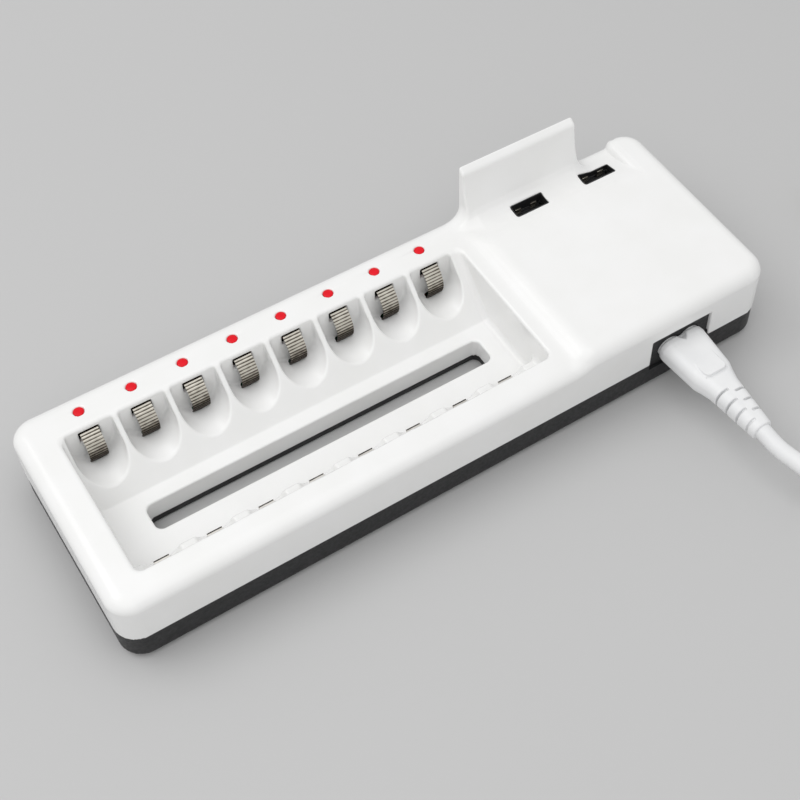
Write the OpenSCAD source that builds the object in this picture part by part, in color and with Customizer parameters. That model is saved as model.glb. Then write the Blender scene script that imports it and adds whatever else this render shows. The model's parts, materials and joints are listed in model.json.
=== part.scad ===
// Desk charger for eight round cells, with two sockets, a phone bed and a plugged-in mains cord.
// Millimetres, +Z up. X runs along the row of bays, -Y is the front with the mains inlet.
// The origin lies under the middle of the housing, on the surface that it stands on.

/* [Housing] */
// Length of the socket block to the right of the tray
block_l = 82.5; // [78:0.5:100]
// Corner radius seen from above
corner_r = 8; // [7:0.25:10]
// Height of the tray rim above the table
rim_h = 30; // [29:0.5:34]
// Height of the socket block above the tray rim
block_rise = 3; // [2:0.25:4]
// Length of the ramp from the tray rim up to the socket block
ramp_l = 10; // [7:0.5:14]
// Height of the parting line above the table
parting_h = 12; // [11:0.25:13]
// Wall thickness of both mouldings
wall = 2; // [1.6:0.1:2.4]
// Edge radius along the tray rim
rim_edge_r = 5.5; // [4:0.25:6]
// Edge radius along the socket block
block_edge_r = 5; // [4:0.25:6]
// Edge radius under the base
base_edge_r = 2.5; // [1.5:0.25:3]
// Height of the tongue that lines up the two mouldings
tongue_h = 1.5; // [1:0.1:2]
// Thickness of the base floor
base_floor_t = 2.2; // [1.8:0.1:3]

/* [Battery tray] */
// Distance from one bay to the next
bay_pitch = 17.5; // [17:0.1:18]
// Diameter of the larger cell
cell_d = 14.5; // [14:0.1:14.8]
// Length of the larger cell
cell_l = 50.5; // [49.5:0.1:50.8]
// Length of the smaller cell
small_cell_l = 44.5; // [43.5:0.1:44.8]
// Width of the rim in front of the tray
rim_front = 10.4; // [9.8:0.1:12]
// Width of the rim behind the tray
rim_back = 14.3; // [13.9:0.1:18]
// Width of the rim left of the tray
rim_left = 12; // [11:0.25:14]
// Plain strip between the left tray wall and the first bay
land_left = 0.65; // [0.4:0.05:1.5]
// Plain strip between the last bay and the right tray wall
land_right = 2.85; // [1:0.05:4]
// Room along a bay for the contacts
contact_room = 3.8; // [3.4:0.1:4.4]
// Height of the platform that the smaller cells lie on
platform_z = 11; // [10.5:0.1:11.5]
// Distance from the front tray wall to the back edge of the platform
platform_d = 36.3; // [35:0.1:38]
// Height of the seat on the front ledge
ledge_seat_z = 16; // [15.5:0.1:16.5]
// Height of the ridges between the seats on the front ledge
ledge_ridge_h = 3.5; // [2:0.1:4]
// Slack between the smaller cell and the ledge
ledge_slack = 2.4; // [2:0.1:3]
// Thickness of the fins between the bays
fin_t = 1.8; // [1.4:0.1:2.4]
// How far the troughs at the back lie below the seats of the front ledge
trough_drop = 0.8; // [0.4:0.1:1.2]
// Wall thickness of the tray
tub_t = 1.8; // [1.4:0.1:2.2]
// Width of the slot through the platform
slot_w = 10; // [8:0.25:11]
// Distance from the front tray wall to the middle of the slot
slot_d = 26.1; // [25.5:0.1:27]
// Margin left of the slot
slot_left = 13.6; // [10:0.2:18]
// Margin right of the slot
slot_right = 7.8; // [5:0.2:12]
// Corner radius of the slot
slot_r = 2.5; // [1.5:0.25:3.5]

/* [Contacts and lamps] */
// Width of a sprung contact
spring_w = 6; // [5:0.25:6.5]
// Thickness of the contact metal
strip_t = 0.4; // [0.3:0.05:0.5]
// Bow radius of a sprung contact
bow_r = 7.5; // [7.2:0.1:8]
// How far the middle of the bow lies below the rim
bow_drop = 9.5; // [9:0.1:10]
// How far the bow stands in front of the back tray wall
bow_proud = 3.8; // [3:0.1:4.2]
// How far the upper end of a sprung contact lies below the rim
spring_drop = 2.7; // [2.5:0.05:3]
// Spacing of the ribs across a sprung contact
rib_pitch = 1; // [0.9:0.05:1.4]
// Radius of the ribs across a sprung contact
rib_r = 0.3; // [0.25:0.05:0.4]
// Radius of the rolled foot of a sprung contact
roll_r = 0.8; // [0.6:0.05:1]
// Width of a positive contact
plate_w = 5; // [4:0.25:5.5]
// Height of a positive contact above the ledge seat
plate_h = 10.5; // [8.5:0.25:11.5]
// Radius of the stud on a positive contact
stud_r = 1.5; // [1:0.1:2]
// Diameter of a lamp
lamp_d = 3.2; // [2.6:0.1:3.4]
// Distance from the back tray wall to the row of lamps
lamp_d_back = 6.3; // [6.2:0.05:6.8]
// How far a lamp stands above the rim
lamp_proud = 0.25; // [0.2:0.05:0.6]

/* [Sockets and phone bed] */
// Width of a socket opening
socket_w = 12.9; // [12.6:0.1:13.4]
// Depth of a socket opening
socket_d = 5.2; // [5:0.1:5.6]
// Distance between the two sockets
socket_pitch = 28.4; // [24:0.2:30]
// Distance from the right end of the housing to the second socket
socket_end = 23.5; // [21:0.25:26]
// Distance from the back of the housing to the sockets
socket_back = 11.9; // [11.5:0.1:12.5]
// Distance from the back of the housing to the top of the sloping bed
bed_d = 20.5; // [19:0.25:22]
// Distance from the back of the housing to the foot of the slope
bed_foot = 7.5; // [6.5:0.25:8]
// Distance from the right end of the housing to the end of the bed
bed_end = 13; // [11:0.25:15]
// Radius of the step at the end of the bed
bed_step_r = 3; // [2:0.25:3.5]
// Width of the phone rest
rest_w = 46; // [40:0.5:50]
// Distance from the right end of the housing to the middle of the phone rest
rest_end = 50.5; // [48:0.5:54]
// Height of the phone rest above the rim
rest_h = 21.5; // [16:0.5:26]
// Thickness of the phone rest at its top
rest_t = 3; // [2.4:0.1:4]
// Slope of the top of the phone rest
rest_slope = 35; // [10:1:45]
// Hollow radius in front of the phone rest
rest_r = 45; // [40:1:60]
// Radius of the flares at both ends of the rest's foot
flare_r = 6; // [4:0.25:8]

/* [Mains inlet and cord] */
// Width of the inlet opening
inlet_w = 24.5; // [23.5:0.1:26]
// Height of the top of the inlet opening
inlet_top = 23.8; // [22.8:0.1:24.6]
// Distance from the right end of the housing to the middle of the inlet
inlet_end = 36.25; // [34:0.25:38]
// How far the inlet lies behind the front face
inlet_set = 1.2; // [0.8:0.1:2]
// Length of the inlet
inlet_l = 17; // [16:0.25:18]
// Radius of one lobe of the inlet's socket
lobe_r = 4.4; // [4.3:0.05:4.6]
// Half the distance between the two lobes
lobe_x = 4.3; // [4.2:0.05:4.4]
// Height of the inlet's axis
inlet_z = 16; // [15.6:0.1:16.4]
// Diameter of an inlet pin
inlet_pin_d = 2.4; // [2.2:0.05:2.6]
// Width of the connector body
conn_w = 17.4; // [16.8:0.1:18.4]
// Thickness of the connector body
conn_h = 9; // [8.6:0.1:9.6]
// Length of the connector body
conn_l = 20.3; // [18:0.1:22]
// Length of the strain relief
relief_l = 23; // [20:0.25:26]
// Diameter of the cord
cord_d = 5.8; // [5.4:0.1:6.2]
// Width of the mains plug
plug_w = 34; // [32:0.5:36]
// Thickness of the mains plug
plug_t = 13.6; // [12:0.2:15]
// Length of the mains plug
plug_l = 36; // [32:0.5:40]
// Diameter of a plug pin
plug_pin_d = 4; // [3.8:0.05:4.2]
// Length of a plug pin outside the plug
plug_pin_l = 19; // [18:0.25:20]
// Distance between the plug pins
plug_pin_pitch = 18.6; // [17:0.1:19.2]

/* [Feet and screws] */
// Radius of a foot
foot_r = 5; // [4:0.25:6]
// Thickness of a foot
foot_t = 2; // [1.6:0.1:2.4]
// How far a foot stands below the base
foot_proud = 0.8; // [0.6:0.1:1.2]
// Distance of the feet from the housing's ends
foot_in_x = 24; // [20:0.5:30]
// Distance of the feet from the housing's sides
foot_in_y = 10; // [9:0.5:12]
// Distance of the end screws from the housing's ends
screw_in_x = 6.3; // [6:0.1:6.6]
// Distance of the end screws from the housing's sides
screw_in_y = 8.5; // [8:0.1:10]
// Distance of the middle screws from the housing's sides
screw_mid_y = 5.8; // [5.6:0.1:6.4]
// Shank diameter of a case screw
screw_d = 2.4; // [2.2:0.1:2.8]
// Head diameter of a case screw
screw_head_d = 4.8; // [4.4:0.1:5.2]
// Length of a case screw under its head
screw_l = 10; // [8:0.5:11]

/* [Circuit boards] */
// Thickness of the circuit boards
board_t = 1.6; // [1:0.1:1.8]
// Height of the board supports above the base floor
board_lift = 1.6; // [1.4:0.1:1.8]
// Height of the socket board above the table
socket_board_z = 12.4; // [11.5:0.1:13]
// Margin of the socket board beyond the sockets
socket_board_in = 4.5; // [4:0.25:5.5]
// Depth of the socket board
socket_board_d = 17; // [16:0.25:18]
// Radius of the transformer's centre leg
core_leg_r = 3; // [2.5:0.1:3.5]
// Height of the transformer
core_h = 17; // [14:0.5:19]
// Length of the transformer core
core_l = 20; // [18:0.5:22]
// Depth of the transformer core
core_d = 7; // [6:0.25:8]
// Outer radius of the transformer winding
winding_r = 6; // [5:0.1:6.4]
// Radius of the bulk capacitor
bulk_r = 5; // [4:0.25:6]
// Height of the bulk capacitor
bulk_h = 19; // [14:0.5:20]
// Radius of the output capacitor
output_r = 4; // [3:0.25:5]
// Height of the output capacitor
output_h = 12; // [8:0.5:14]
// Outer radius of the choke
choke_r = 7; // [6:0.25:8]
// Radius of the choke's round section
choke_t = 2.4; // [2:0.1:2.8]
// Width of the rectifier
rectifier_w = 8.5; // [7:0.5:10]
// Radius of the fuse
fuse_r = 1.7; // [1.4:0.1:2]
// Length of the fuse
fuse_l = 8.5; // [7:0.5:10]
// Width of the controller chip
chip_w = 5; // [4:0.25:6]

/* [Hidden] */
$fn = 48;

// Clearances and small overlaps shared by the pieces
fit = 0.15;
pin_fit = 0.05;
run_gap = 0.3;
bite = 0.2;
far = 60;

// Tray, bays and block along X and Y
bay_count = 8;
body_l = rim_left + land_left + bay_count * bay_pitch + land_right + block_l;
body_w = rim_front + cell_l + contact_room + rim_back;
tray_x0 = -body_l / 2 + rim_left;
tray_x1 = tray_x0 + land_left + bay_count * bay_pitch + land_right;
tray_y0 = -body_w / 2 + rim_front;
tray_y1 = tray_y0 + cell_l + contact_room;
bay_x = [for (i = [0 : bay_count - 1]) tray_x0 + land_left + (i + 0.5) * bay_pitch];
block_h = rim_h + block_rise;
block_x0 = tray_x1;
block_x1 = body_l / 2;
ramp_x0 = block_x0 + fin_t;

// Front ledge with its round seats
cradle_slack = 0.25;
cradle_r = cell_d / 2 + cradle_slack;
cradle_z = ledge_seat_z + cradle_r;
ledge_y = tray_y0 + cell_l - small_cell_l + ledge_slack;
platform_y = tray_y0 + platform_d;

// Troughs behind the bays
trough_r = bay_pitch / 2 - fin_t / 2;
trough_floor_z = ledge_seat_z - trough_drop;
trough_z = trough_floor_z + trough_r;
back_slope = atan((rim_h - platform_z) / (tray_y1 - platform_y));
under_z = trough_floor_z - tub_t;
under_y0 = platform_y + tub_t / sin(back_slope) - tub_t / tan(back_slope);
under_y1 = platform_y + tub_t / sin(back_slope) + (under_z - platform_z) / tan(back_slope);

// Slot through the platform
slot_x0 = tray_x0 + slot_left;
slot_x1 = tray_x1 - slot_right;
slot_y = tray_y0 + slot_d;

// Base and boards along Z
base_inset = 0.2;
base_z = foot_proud;
floor_top = base_z + base_floor_t;
board_z = floor_top + board_lift;
board_top = board_z + board_t;
board_gap = 0.6;
boss_wall = 1.2;
boss_rise = 1.4;
boss_r = screw_head_d / 2 + fit + boss_wall;
boss_top = board_top + boss_rise;
pillar_wall = 1.9;
pillar_r = screw_d / 2 + pillar_wall;
head_seat = boss_top - 2;
head_h = 1.8;
recess_r = 1;
recess_d = 0.9;
post_root = base_z + 1;
foot_edge_r = 0.5;
post_r = 2.5;
stand_r = 2;

// Sprung contacts
bow_y = tray_y1 - bow_proud + bow_r;
bow_z = rim_h - bow_drop;
spring_top = rim_h - spring_drop;
hinge_y = tray_y1;
hinge_z = board_top + roll_r + run_gap;
bow_share = 0.82;
bow_low = bow_z - bow_share * bow_r;
window_side = 0.35;
window_set = 1.6;
window_w = spring_w + 2 * window_side;
bow_at_floor = bow_y - sqrt(max(0, pow(bow_r + rib_r / 2, 2) - pow(bow_z - trough_floor_z, 2)));
window_y = min(tray_y1 - bow_proud + window_set, bow_at_floor - run_gap);
window_top = rim_h - wall;
rib_step = 180 * rib_pitch / (PI * bow_r);
rib_count = 6;

// Lamps
lamp_y = tray_y1 + lamp_d_back;
lamp_h = 6;
lamp_bottom = rim_h - lamp_h;
lamp_edge_r = 0.3;
lead_t = 0.5;
lead_x = 1.27;

// Sockets
socket_x = [block_x1 - socket_end - socket_pitch, block_x1 - socket_end];
socket_y = body_w / 2 - socket_back;
shell_t = 0.3;
shell_w = socket_w + shell_t;
shell_d = socket_d + 2 * shell_t;
bed_y0 = body_w / 2 - bed_d;
bed_y1 = body_w / 2 - bed_foot;
bed_slope = block_rise / (bed_y1 - bed_y0);
shell_top = block_h - (socket_y + shell_d / 2 - bed_y0) * bed_slope - wall - fit;
socket_board_top = socket_board_z + board_t;
socket_corner_r = 0.6;
tongue_side = 0.9;
tongue_w = socket_w - 2 * tongue_side;
tongue_t = 1.9;
tongue_foot_h = 3.6;
tongue_drop = 1.4;
socket_board_l = socket_pitch + socket_w + 2 * socket_board_in;
socket_board_x = (socket_x[0] + socket_x[1]) / 2;
socket_board_y = body_w / 2 - wall - board_gap - socket_board_d / 2;

// Phone bed and rest
bed_x1 = block_x1 - bed_end;
rest_x = block_x1 - rest_end;
rest_top = rim_h + rest_h;
rest_root = 1;

// Inlet and connector
inlet_x = block_x1 - inlet_end;
inlet_y0 = -body_w / 2 + inlet_set;
inlet_half = inlet_w / 2 - fit;
inlet_rim = 2;
inlet_low = inlet_z - lobe_r - inlet_rim;
socket_depth = 15;
waist = 1.2;
pin_tail = 2;
pin_out = 4;
nose_fit = 0.35;
nose_short = 1.2;
nose_l = socket_depth - nose_short;
conn_sunk = 0.8;
conn_y0 = -body_w / 2 + conn_sunk;
conn_y1 = conn_y0 - conn_l;
relief_y1 = conn_y1 - relief_l;
relief_ribs = 5;
relief_w0 = 11;
relief_skin = 0.9;
rib_share = 0.8;
oval_share = 0.49;
slice_t = 0.4;

// Sections of the connector: distance behind its mouth, added width, added thickness
conn_sections = [[0.4, -1, -1], [1.2, 0, 0], [conn_l - 3, -2.6, 0], [conn_l, -5, -1]];

// Sections of the plug: distance along it, width and thickness, each as a share
plug_head = [[0.99, 0.94, 0.85], [0.94, 1, 1], [0.5, 0.86, 1], [0.2, 0.5, 0.8]];
plug_neck = [[0.2, 0.4, 0.76], [0, 0.26, 0.65]];
plug_edge = 0.3;

// Cord routes, chosen by hand: connector to coil, and coil to plug
coil_out = 69.25;
coil_back = 18;
coil_c = [inlet_x + coil_out, relief_y1 - coil_back];
coil_r = 33;
coil_lift = 1;
coil_z = coil_lift + cord_d / 2;
coil_up = cord_d * sqrt(3) / 2;
coil_half_w = 1.5 * cord_d;
coil_h = cord_d + coil_up;
lead_steps = [
    [0, 0, inlet_z], [0, -8, inlet_z], [2.25, -16, inlet_z - 1], [5.5, -25, 12], [11.5, -35, 8],
    [20.5, -45, 4.8], [33, -52.5, 3.2], [48, -56.3, 3.2]
];
lead_start = [inlet_x, relief_y1, 0];
lead_end = [coil_c[0], coil_c[1] - coil_r - cord_d, coil_z];
lead_route = concat([for (p = lead_steps) lead_start + p], [lead_end]);
plug_out = 35;
plug_ahead = 44;
plug_x = coil_c[0] + plug_out;
plug_y = coil_c[1] + plug_ahead;
tail_start = [coil_c[0] + coil_r + cord_d / 2, coil_c[1], coil_z + coil_up];
tail_steps = [[0, 0, 0], [0, 14, 0.8], [-0.2, 20, 0.4], [-0.4, 26, -0.8], [-0.8, 34, -1.9]];
tail_end = [plug_x, plug_y, plug_t / 2];
tail_route = concat([for (p = tail_steps) tail_start + p], [tail_end]);
plug_pin_in = 8;
plug_tail_d = plug_pin_d - 1;
cord_sides = 10;
tie_t = 0.8;
tie_w = 5;
tie_gap = 0.1;
tie_side = 0.6;
tie_r = 1.2;

// Parts on the main board
core_x = block_x0 + tub_t + 18.2;
core_y = 2;
core_yoke = 3.4;
winding_fit = 0.2;
winding_h = core_h - 2 * core_yoke - 2 * winding_fit;
part_gap = 4;
bulk_x = (block_x0 + tub_t + inlet_x - inlet_half) / 2;
bulk_y = -body_w / 2 + wall + part_gap + bulk_r;
output_y = 4;
can_groove = 0.6;
groove_z = 2.5;
choke_x = block_x1 - wall - choke_r - 6;
choke_y = -body_w / 2 + 27.5;
rectifier_y = -body_w / 2 + 11.5;
rectifier_h = 3.2;
rectifier_share = 0.75;
fuse_y = inlet_y0 + inlet_l + part_gap + fuse_r;
chip_in = 24;
chip_y = 6;
chip_h = 1.6;
chip_share = 0.8;
chip_edge = 0.3;

// Colours
white_c = [0.95, 0.95, 0.94];
dark_c = [0.19, 0.19, 0.2];
metal_c = [0.6, 0.57, 0.52];
steel_c = [0.72, 0.73, 0.74];
red_c = [0.9, 0.12, 0.15];
board_c = [0.2, 0.42, 0.26];
black_c = [0.1, 0.1, 0.11];
brass_c = [0.8, 0.68, 0.38];
tape_c = [0.88, 0.7, 0.2];
sleeve_c = [0.16, 0.2, 0.3];
copper_c = [0.7, 0.4, 0.2];
ceramic_c = [0.75, 0.66, 0.5];

// Rectangle with round corners, centred
module plan(l, w, r) {
    square([l - 2 * r, w], center = true);
    square([l, w - 2 * r], center = true);
    for (sx = [-1, 1], sy = [-1, 1])
        translate([sx * (l / 2 - r), sy * (w / 2 - r)])
            circle(r);
}

// Upright section with two round upper corners, centred on its foot
module arch(w, h, r) {
    translate([-w / 2, 0])
        square([w, h - r]);
    translate([r - w / 2, 0])
        square([w - 2 * r, h]);
    for (s = [-1, 1])
        translate([s * (w / 2 - r), h - r])
            circle(r);
}

// Half of that section, for a corner turned about its axis
module half_arch(w, h, r) {
    square([w, h - r]);
    square([w - r, h]);
    translate([w - r, h - r])
        intersection() {
            circle(r);
            square(r);
        }
}

// Slab with round corners and a round upper edge
module slab(l, w, h, rc, re) {
    translate([rc - l / 2, 0, 0])
        along_x(l - 2 * rc)
            arch(w, h, re);
    translate([0, rc - w / 2, 0])
        along_y(w - 2 * rc)
            arch(l, h, re);
    for (sx = [-1, 1], sy = [-1, 1])
        translate([sx * (l / 2 - rc), sy * (w / 2 - rc), 0])
            rotate_extrude()
                half_arch(rc, h, re);
}

// Extrude a section drawn in Y and Z along +X
module along_x(l) {
    rotate([90, 0, 90])
        linear_extrude(l)
            children();
}

// Extrude a section drawn in X and Z along +Y
module along_y(l) {
    translate([0, l, 0])
        rotate([90, 0, 0])
            linear_extrude(l)
                children();
}

// Box given by its two corners
module span(a, b) {
    translate(a)
        cube(b - a);
}

// Round post or hole along Z
module post(p, r, z0, z1) {
    translate([p[0], p[1], z0])
        cylinder(r = r, h = z1 - z0);
}

// Height at which a screw pillar meets the inside of the cover
function pillar_top(p) = (p[0] > ramp_x0 + ramp_l ? block_h : rim_h) - wall / 2;

// Places of the screws and feet
screw_places = [
    for (sx = [-1, 1], sy = [-1, 1]) [sx * (body_l / 2 - screw_in_x), sy * (body_w / 2 - screw_in_y)],
    for (sy = [-1, 1]) [block_x0 + tub_t + boss_r + fit, sy * (body_w / 2 - screw_mid_y)]
];
foot_places = [
    for (sx = [-1, 1], sy = [-1, 1]) [sx * (body_l / 2 - foot_in_x), sy * (body_w / 2 - foot_in_y)]
];
socket_posts = [
    for (sx = [-1, 1], sy = [-1, 1]) [
        socket_board_x + sx * (socket_board_l / 2 - post_r),
        socket_board_y + sy * (socket_board_d / 2 - post_r)
    ]
];
board_stands = [
    [(tray_x0 - tub_t + slot_x0) / 2 - stand_r, slot_y],
    [(slot_x1 + block_x0) / 2 + stand_r, slot_y],
    [block_x1 - wall - 3 * stand_r, 0],
    [bay_x[3], tray_y0 - stand_r],
    [bay_x[3], (lamp_y + body_w / 2) / 2 - stand_r / 2]
];

// Solid under the tray rim, or its hollow when set in by d
module rim_body(d) {
    translate([0, 0, parting_h - bite])
        slab(body_l - 2 * d, body_w - 2 * d, rim_h - d - parting_h + bite, corner_r - d, rim_edge_r - d);
}

// Region below the ramp, set in by d
module ramp_region(d) {
    rise = block_rise;
    r = (ramp_l * ramp_l / 4 + rise * rise / 4) / rise;
    z0 = rim_h - d;
    square_x = far + body_l;
    translate([block_x0 - far, 0])
        square([square_x, z0]);
    translate([ramp_x0 + ramp_l, 0])
        square([square_x, z0 + rise]);
    translate([ramp_x0, 0])
        difference() {
            square([ramp_l / 2, z0 + rise / 2]);
            translate([0, z0 + r])
                circle(r);
        }
    translate([ramp_x0 + ramp_l / 2, 0])
        intersection() {
            square([ramp_l / 2, z0 + rise]);
            translate([ramp_l / 2, z0 + rise - r])
                circle(r);
        }
    translate([ramp_x0 + ramp_l / 2, 0])
        square([ramp_l / 2, z0 + rise / 2]);
}

// Raised socket block before the bed is cut, set in by d
module block_body(d) {
    l = block_x1 - block_x0 + corner_r;
    intersection() {
        translate([block_x1 - l / 2, 0, parting_h - bite])
            slab(l - 2 * d, body_w - 2 * d, block_h - d - parting_h + bite, corner_r - d, block_edge_r - d);
        translate([0, -body_w, 0])
            along_y(2 * body_w)
                ramp_region(d);
    }
}

// Space above the sloping bed, lowered by d
module bed_cut(d) {
    difference() {
        translate([block_x0 - far, 0, -d])
            along_x(bed_x1 + bed_step_r - block_x0 + far)
                polygon([
                    [bed_y0, block_h], [bed_y0, rest_top], [body_w, rest_top],
                    [body_w, parting_h], [bed_y1, parting_h], [bed_y1, rim_h]
                ]);
        translate([bed_x1 + bed_step_r, 0, block_h - bed_step_r - d])
            rotate([-90, 0, 0])
                cylinder(r = bed_step_r, h = body_w);
        rim_body(d + pin_fit);
    }
}

// Housing outside, or its hollow when set in by d
module housing(d) {
    rim_body(d);
    difference() {
        block_body(d);
        bed_cut(d);
    }
}

// Upright phone rest with a hollow front and flared foot
module phone_rest() {
    back = body_w / 2;
    low = rim_h - rim_edge_r;
    foot_z = rim_h + flare_r;
    intersection() {
        translate([rest_x - far, 0, 0])
            along_x(2 * far)
                difference() {
                    translate([bed_y1 - rest_root, low])
                        square([back - bed_y1 + rest_root, rest_top - low]);
                    translate([back - rest_t - rest_r, rest_top])
                        circle(rest_r, $fn = 160);
                    translate([back, rest_top])
                        rotate(rest_slope)
                            translate([-far, 0])
                                square([far, far]);
                }
        along_y(body_w)
            difference() {
                translate([rest_x - rest_w / 2 - flare_r, low])
                    square([rest_w + 2 * flare_r, rest_top - low]);
                for (s = [-1, 1])
                    translate([rest_x + s * (rest_w / 2 + flare_r), foot_z])
                        circle(flare_r);
                for (s = [-1, 1])
                    translate([rest_x + s * (rest_w / 2 + flare_r), foot_z + far / 2])
                        square([2 * flare_r, far], center = true);
            }
    }
}

// Outside of the tray, drawn in Y and Z
module tub_outside() {
    polygon([
        [tray_y0 - tub_t, rim_h - bite],
        [tray_y0 - tub_t, ledge_seat_z - tub_t],
        [ledge_y - tub_t, ledge_seat_z - tub_t],
        [ledge_y - tub_t, platform_z - tub_t],
        [under_y0, platform_z - tub_t],
        [under_y1, under_z],
        [tray_y1 + tub_t, under_z],
        [tray_y1 + tub_t, rim_h - bite]
    ]);
}

// Hollow of the tray, drawn in Y and Z
module tub_inside() {
    polygon([
        [tray_y0, rim_h + far],
        [tray_y0, ledge_seat_z + ledge_ridge_h],
        [ledge_y, ledge_seat_z + ledge_ridge_h],
        [ledge_y, platform_z],
        [platform_y, platform_z],
        [tray_y1, rim_h],
        [tray_y1, rim_h + far]
    ]);
}

// Round bottom and upright sides of a trough, drawn in X and Z
module trough_outline() {
    circle(trough_r);
    translate([-trough_r, 0])
        square([2 * trough_r, rim_h + far - trough_z]);
}

// Space that one cell and its contacts take out of the tray
module bay_cut(x) {
    translate([x, tray_y0, cradle_z])
        rotate([-90, 0, 0])
            cylinder(r = cradle_r, h = ledge_y - tray_y0 + bite);
    translate([x, platform_y, trough_z])
        along_y(tray_y1 - platform_y)
            trough_outline();
    span([x - window_w / 2, window_y, 0], [x + window_w / 2, tray_y1 + tub_t + bite, window_top]);
    span(
        [x - plate_w / 2 - fit, tray_y0, ledge_seat_z],
        [x + plate_w / 2 + fit, ledge_y + bite, ledge_seat_z + ledge_ridge_h + bite]
    );
    span(
        [x - plate_w / 2 - fit, ledge_y - pin_fit, 0],
        [x + plate_w / 2 + fit, ledge_y + strip_t + run_gap, platform_z + bite]
    );
}

// Walls round the slot, from the platform down to the base
module slot_walls() {
    translate([(slot_x0 + slot_x1) / 2, slot_y, floor_top])
        linear_extrude(platform_z - tub_t / 2 - floor_top)
            plan(slot_x1 - slot_x0 + 2 * tub_t, slot_w + 2 * tub_t, slot_r + tub_t);
}

// Straight hole through tray and base
module slot_hole() {
    translate([(slot_x0 + slot_x1) / 2, slot_y, -far])
        linear_extrude(far + platform_z + bite)
            plan(slot_x1 - slot_x0, slot_w, slot_r);
}

// Finished tray: bays, ledge and slot, without the rim round it
module tray() {
    difference() {
        union() {
            translate([tray_x0 - tub_t, 0, 0])
                along_x(tray_x1 - tray_x0 + 2 * tub_t)
                    tub_outside();
            slot_walls();
        }
        translate([tray_x0, 0, 0])
            along_x(tray_x1 - tray_x0)
                tub_inside();
        for (x = bay_x)
            bay_cut(x);
        slot_hole();
    }
}

// Hollow housing with a rebate for the tongue of the base, open over the tray
module cover_shell() {
    difference() {
        housing(0);
        housing(wall);
        span([-body_l, -body_w, 0], [body_l, body_w, parting_h]);
        translate([0, 0, parting_h - bite])
            linear_extrude(tongue_h + fit + bite)
                plan(body_l - wall, body_w - wall, corner_r - wall / 2);
        span([tray_x0, tray_y0, 0], [tray_x1, tray_y1, rim_h + far]);
        for (x = bay_x)
            post([x, lamp_y], lamp_d / 2 + fit, lamp_bottom - fit, rim_h + wall);
    }
}

module top_cover() {
    color(white_c)
    difference() {
        union() {
            cover_shell();
            tray();
            phone_rest();
            for (p = screw_places)
                post(p, pillar_r, boss_top, pillar_top(p));
        }
        for (x = socket_x)
            translate([x, socket_y, shell_top - far])
                linear_extrude(2 * far)
                    plan(socket_w, socket_d, socket_corner_r);
        span(
            [inlet_x - inlet_w / 2, -body_w, 0],
            [inlet_x + inlet_w / 2, inlet_y0 + wall + bite, inlet_top]
        );
        for (p = screw_places)
            post(p, screw_d / 2 + pin_fit, boss_top - bite, boss_top + screw_l);
    }
}

module base() {
    l = body_l - 2 * base_inset;
    w = body_w - 2 * base_inset;
    h = parting_h - base_z;
    color(dark_c)
    difference() {
        union() {
            difference() {
                union() {
                    translate([0, 0, parting_h])
                        mirror([0, 0, 1])
                            slab(l, w, h, corner_r - base_inset, base_edge_r);
                    translate([0, 0, parting_h - bite])
                        linear_extrude(tongue_h + bite)
                            plan(body_l - wall - 2 * fit, body_w - wall - 2 * fit, corner_r - wall / 2 - fit);
                }
                translate([0, 0, floor_top])
                    linear_extrude(far)
                        plan(body_l - 2 * wall, body_w - 2 * wall, corner_r - wall);
            }
            for (p = screw_places)
                post(p, boss_r, post_root, boss_top);
            for (p = socket_posts)
                post(p, post_r, post_root, socket_board_z);
            for (p = board_stands)
                post(p, stand_r, post_root, board_z);
        }
        slot_hole();
        for (p = screw_places)
            post(p, screw_d / 2 + fit, -far, far);
        for (p = screw_places)
            post(p, screw_head_d / 2 + fit, -far, head_seat);
        for (p = foot_places)
            post(p, foot_r + fit, -far, foot_t);
        span(
            [inlet_x - inlet_w / 2, -body_w, inlet_low - fit],
            [inlet_x + inlet_w / 2, inlet_y0 + wall + bite, far]
        );
    }
}

module main_board() {
    edge = 2 * (wall + board_gap);
    color(board_c)
    translate([0, 0, board_z])
        linear_extrude(board_t)
            difference() {
                plan(body_l - edge, body_w - edge, corner_r - wall - board_gap);
                translate([(slot_x0 + slot_x1) / 2, slot_y])
                    plan(
                        slot_x1 - slot_x0 + 2 * (tub_t + board_gap),
                        slot_w + 2 * (tub_t + board_gap),
                        slot_r + tub_t + board_gap
                    );
                for (p = screw_places)
                    translate(p)
                        circle(boss_r + board_gap);
                for (p = socket_posts)
                    translate(p)
                        circle(post_r + board_gap);
            }
}

module socket_board() {
    color(board_c)
    translate([socket_board_x, socket_board_y, socket_board_z])
        linear_extrude(board_t)
            plan(socket_board_l, socket_board_d, 1);
}

// Bowed, ribbed strip with a rolled foot, which tips back about that foot
module spring_contact(i) {
    color(metal_c)
    translate([bay_x[i] - spring_w / 2, 0, 0])
        along_x(spring_w) {
            intersection() {
                difference() {
                    translate([bow_y, bow_z])
                        circle(bow_r, $fn = 96);
                    translate([bow_y, bow_z])
                        circle(bow_r - strip_t, $fn = 96);
                }
                translate([bow_y - far, bow_low])
                    square([far, spring_top - bow_low]);
            }
            for (k = [-rib_count : rib_count])
                translate([bow_y, bow_z])
                    rotate(180 + k * rib_step)
                        translate([bow_r - rib_r / 2, 0])
                            circle(rib_r, $fn = 16);
            difference() {
                polygon([
                    [hinge_y - strip_t / 2, hinge_z],
                    [hinge_y + strip_t / 2, hinge_z],
                    [hinge_y + strip_t / 2, bow_low + strip_t],
                    [hinge_y - strip_t, bow_low + strip_t]
                ]);
                translate([hinge_y, hinge_z])
                    circle(roll_r / 2);
            }
            translate([hinge_y, hinge_z])
                difference() {
                    circle(roll_r);
                    circle(roll_r / 2);
                }
        }
}

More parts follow.
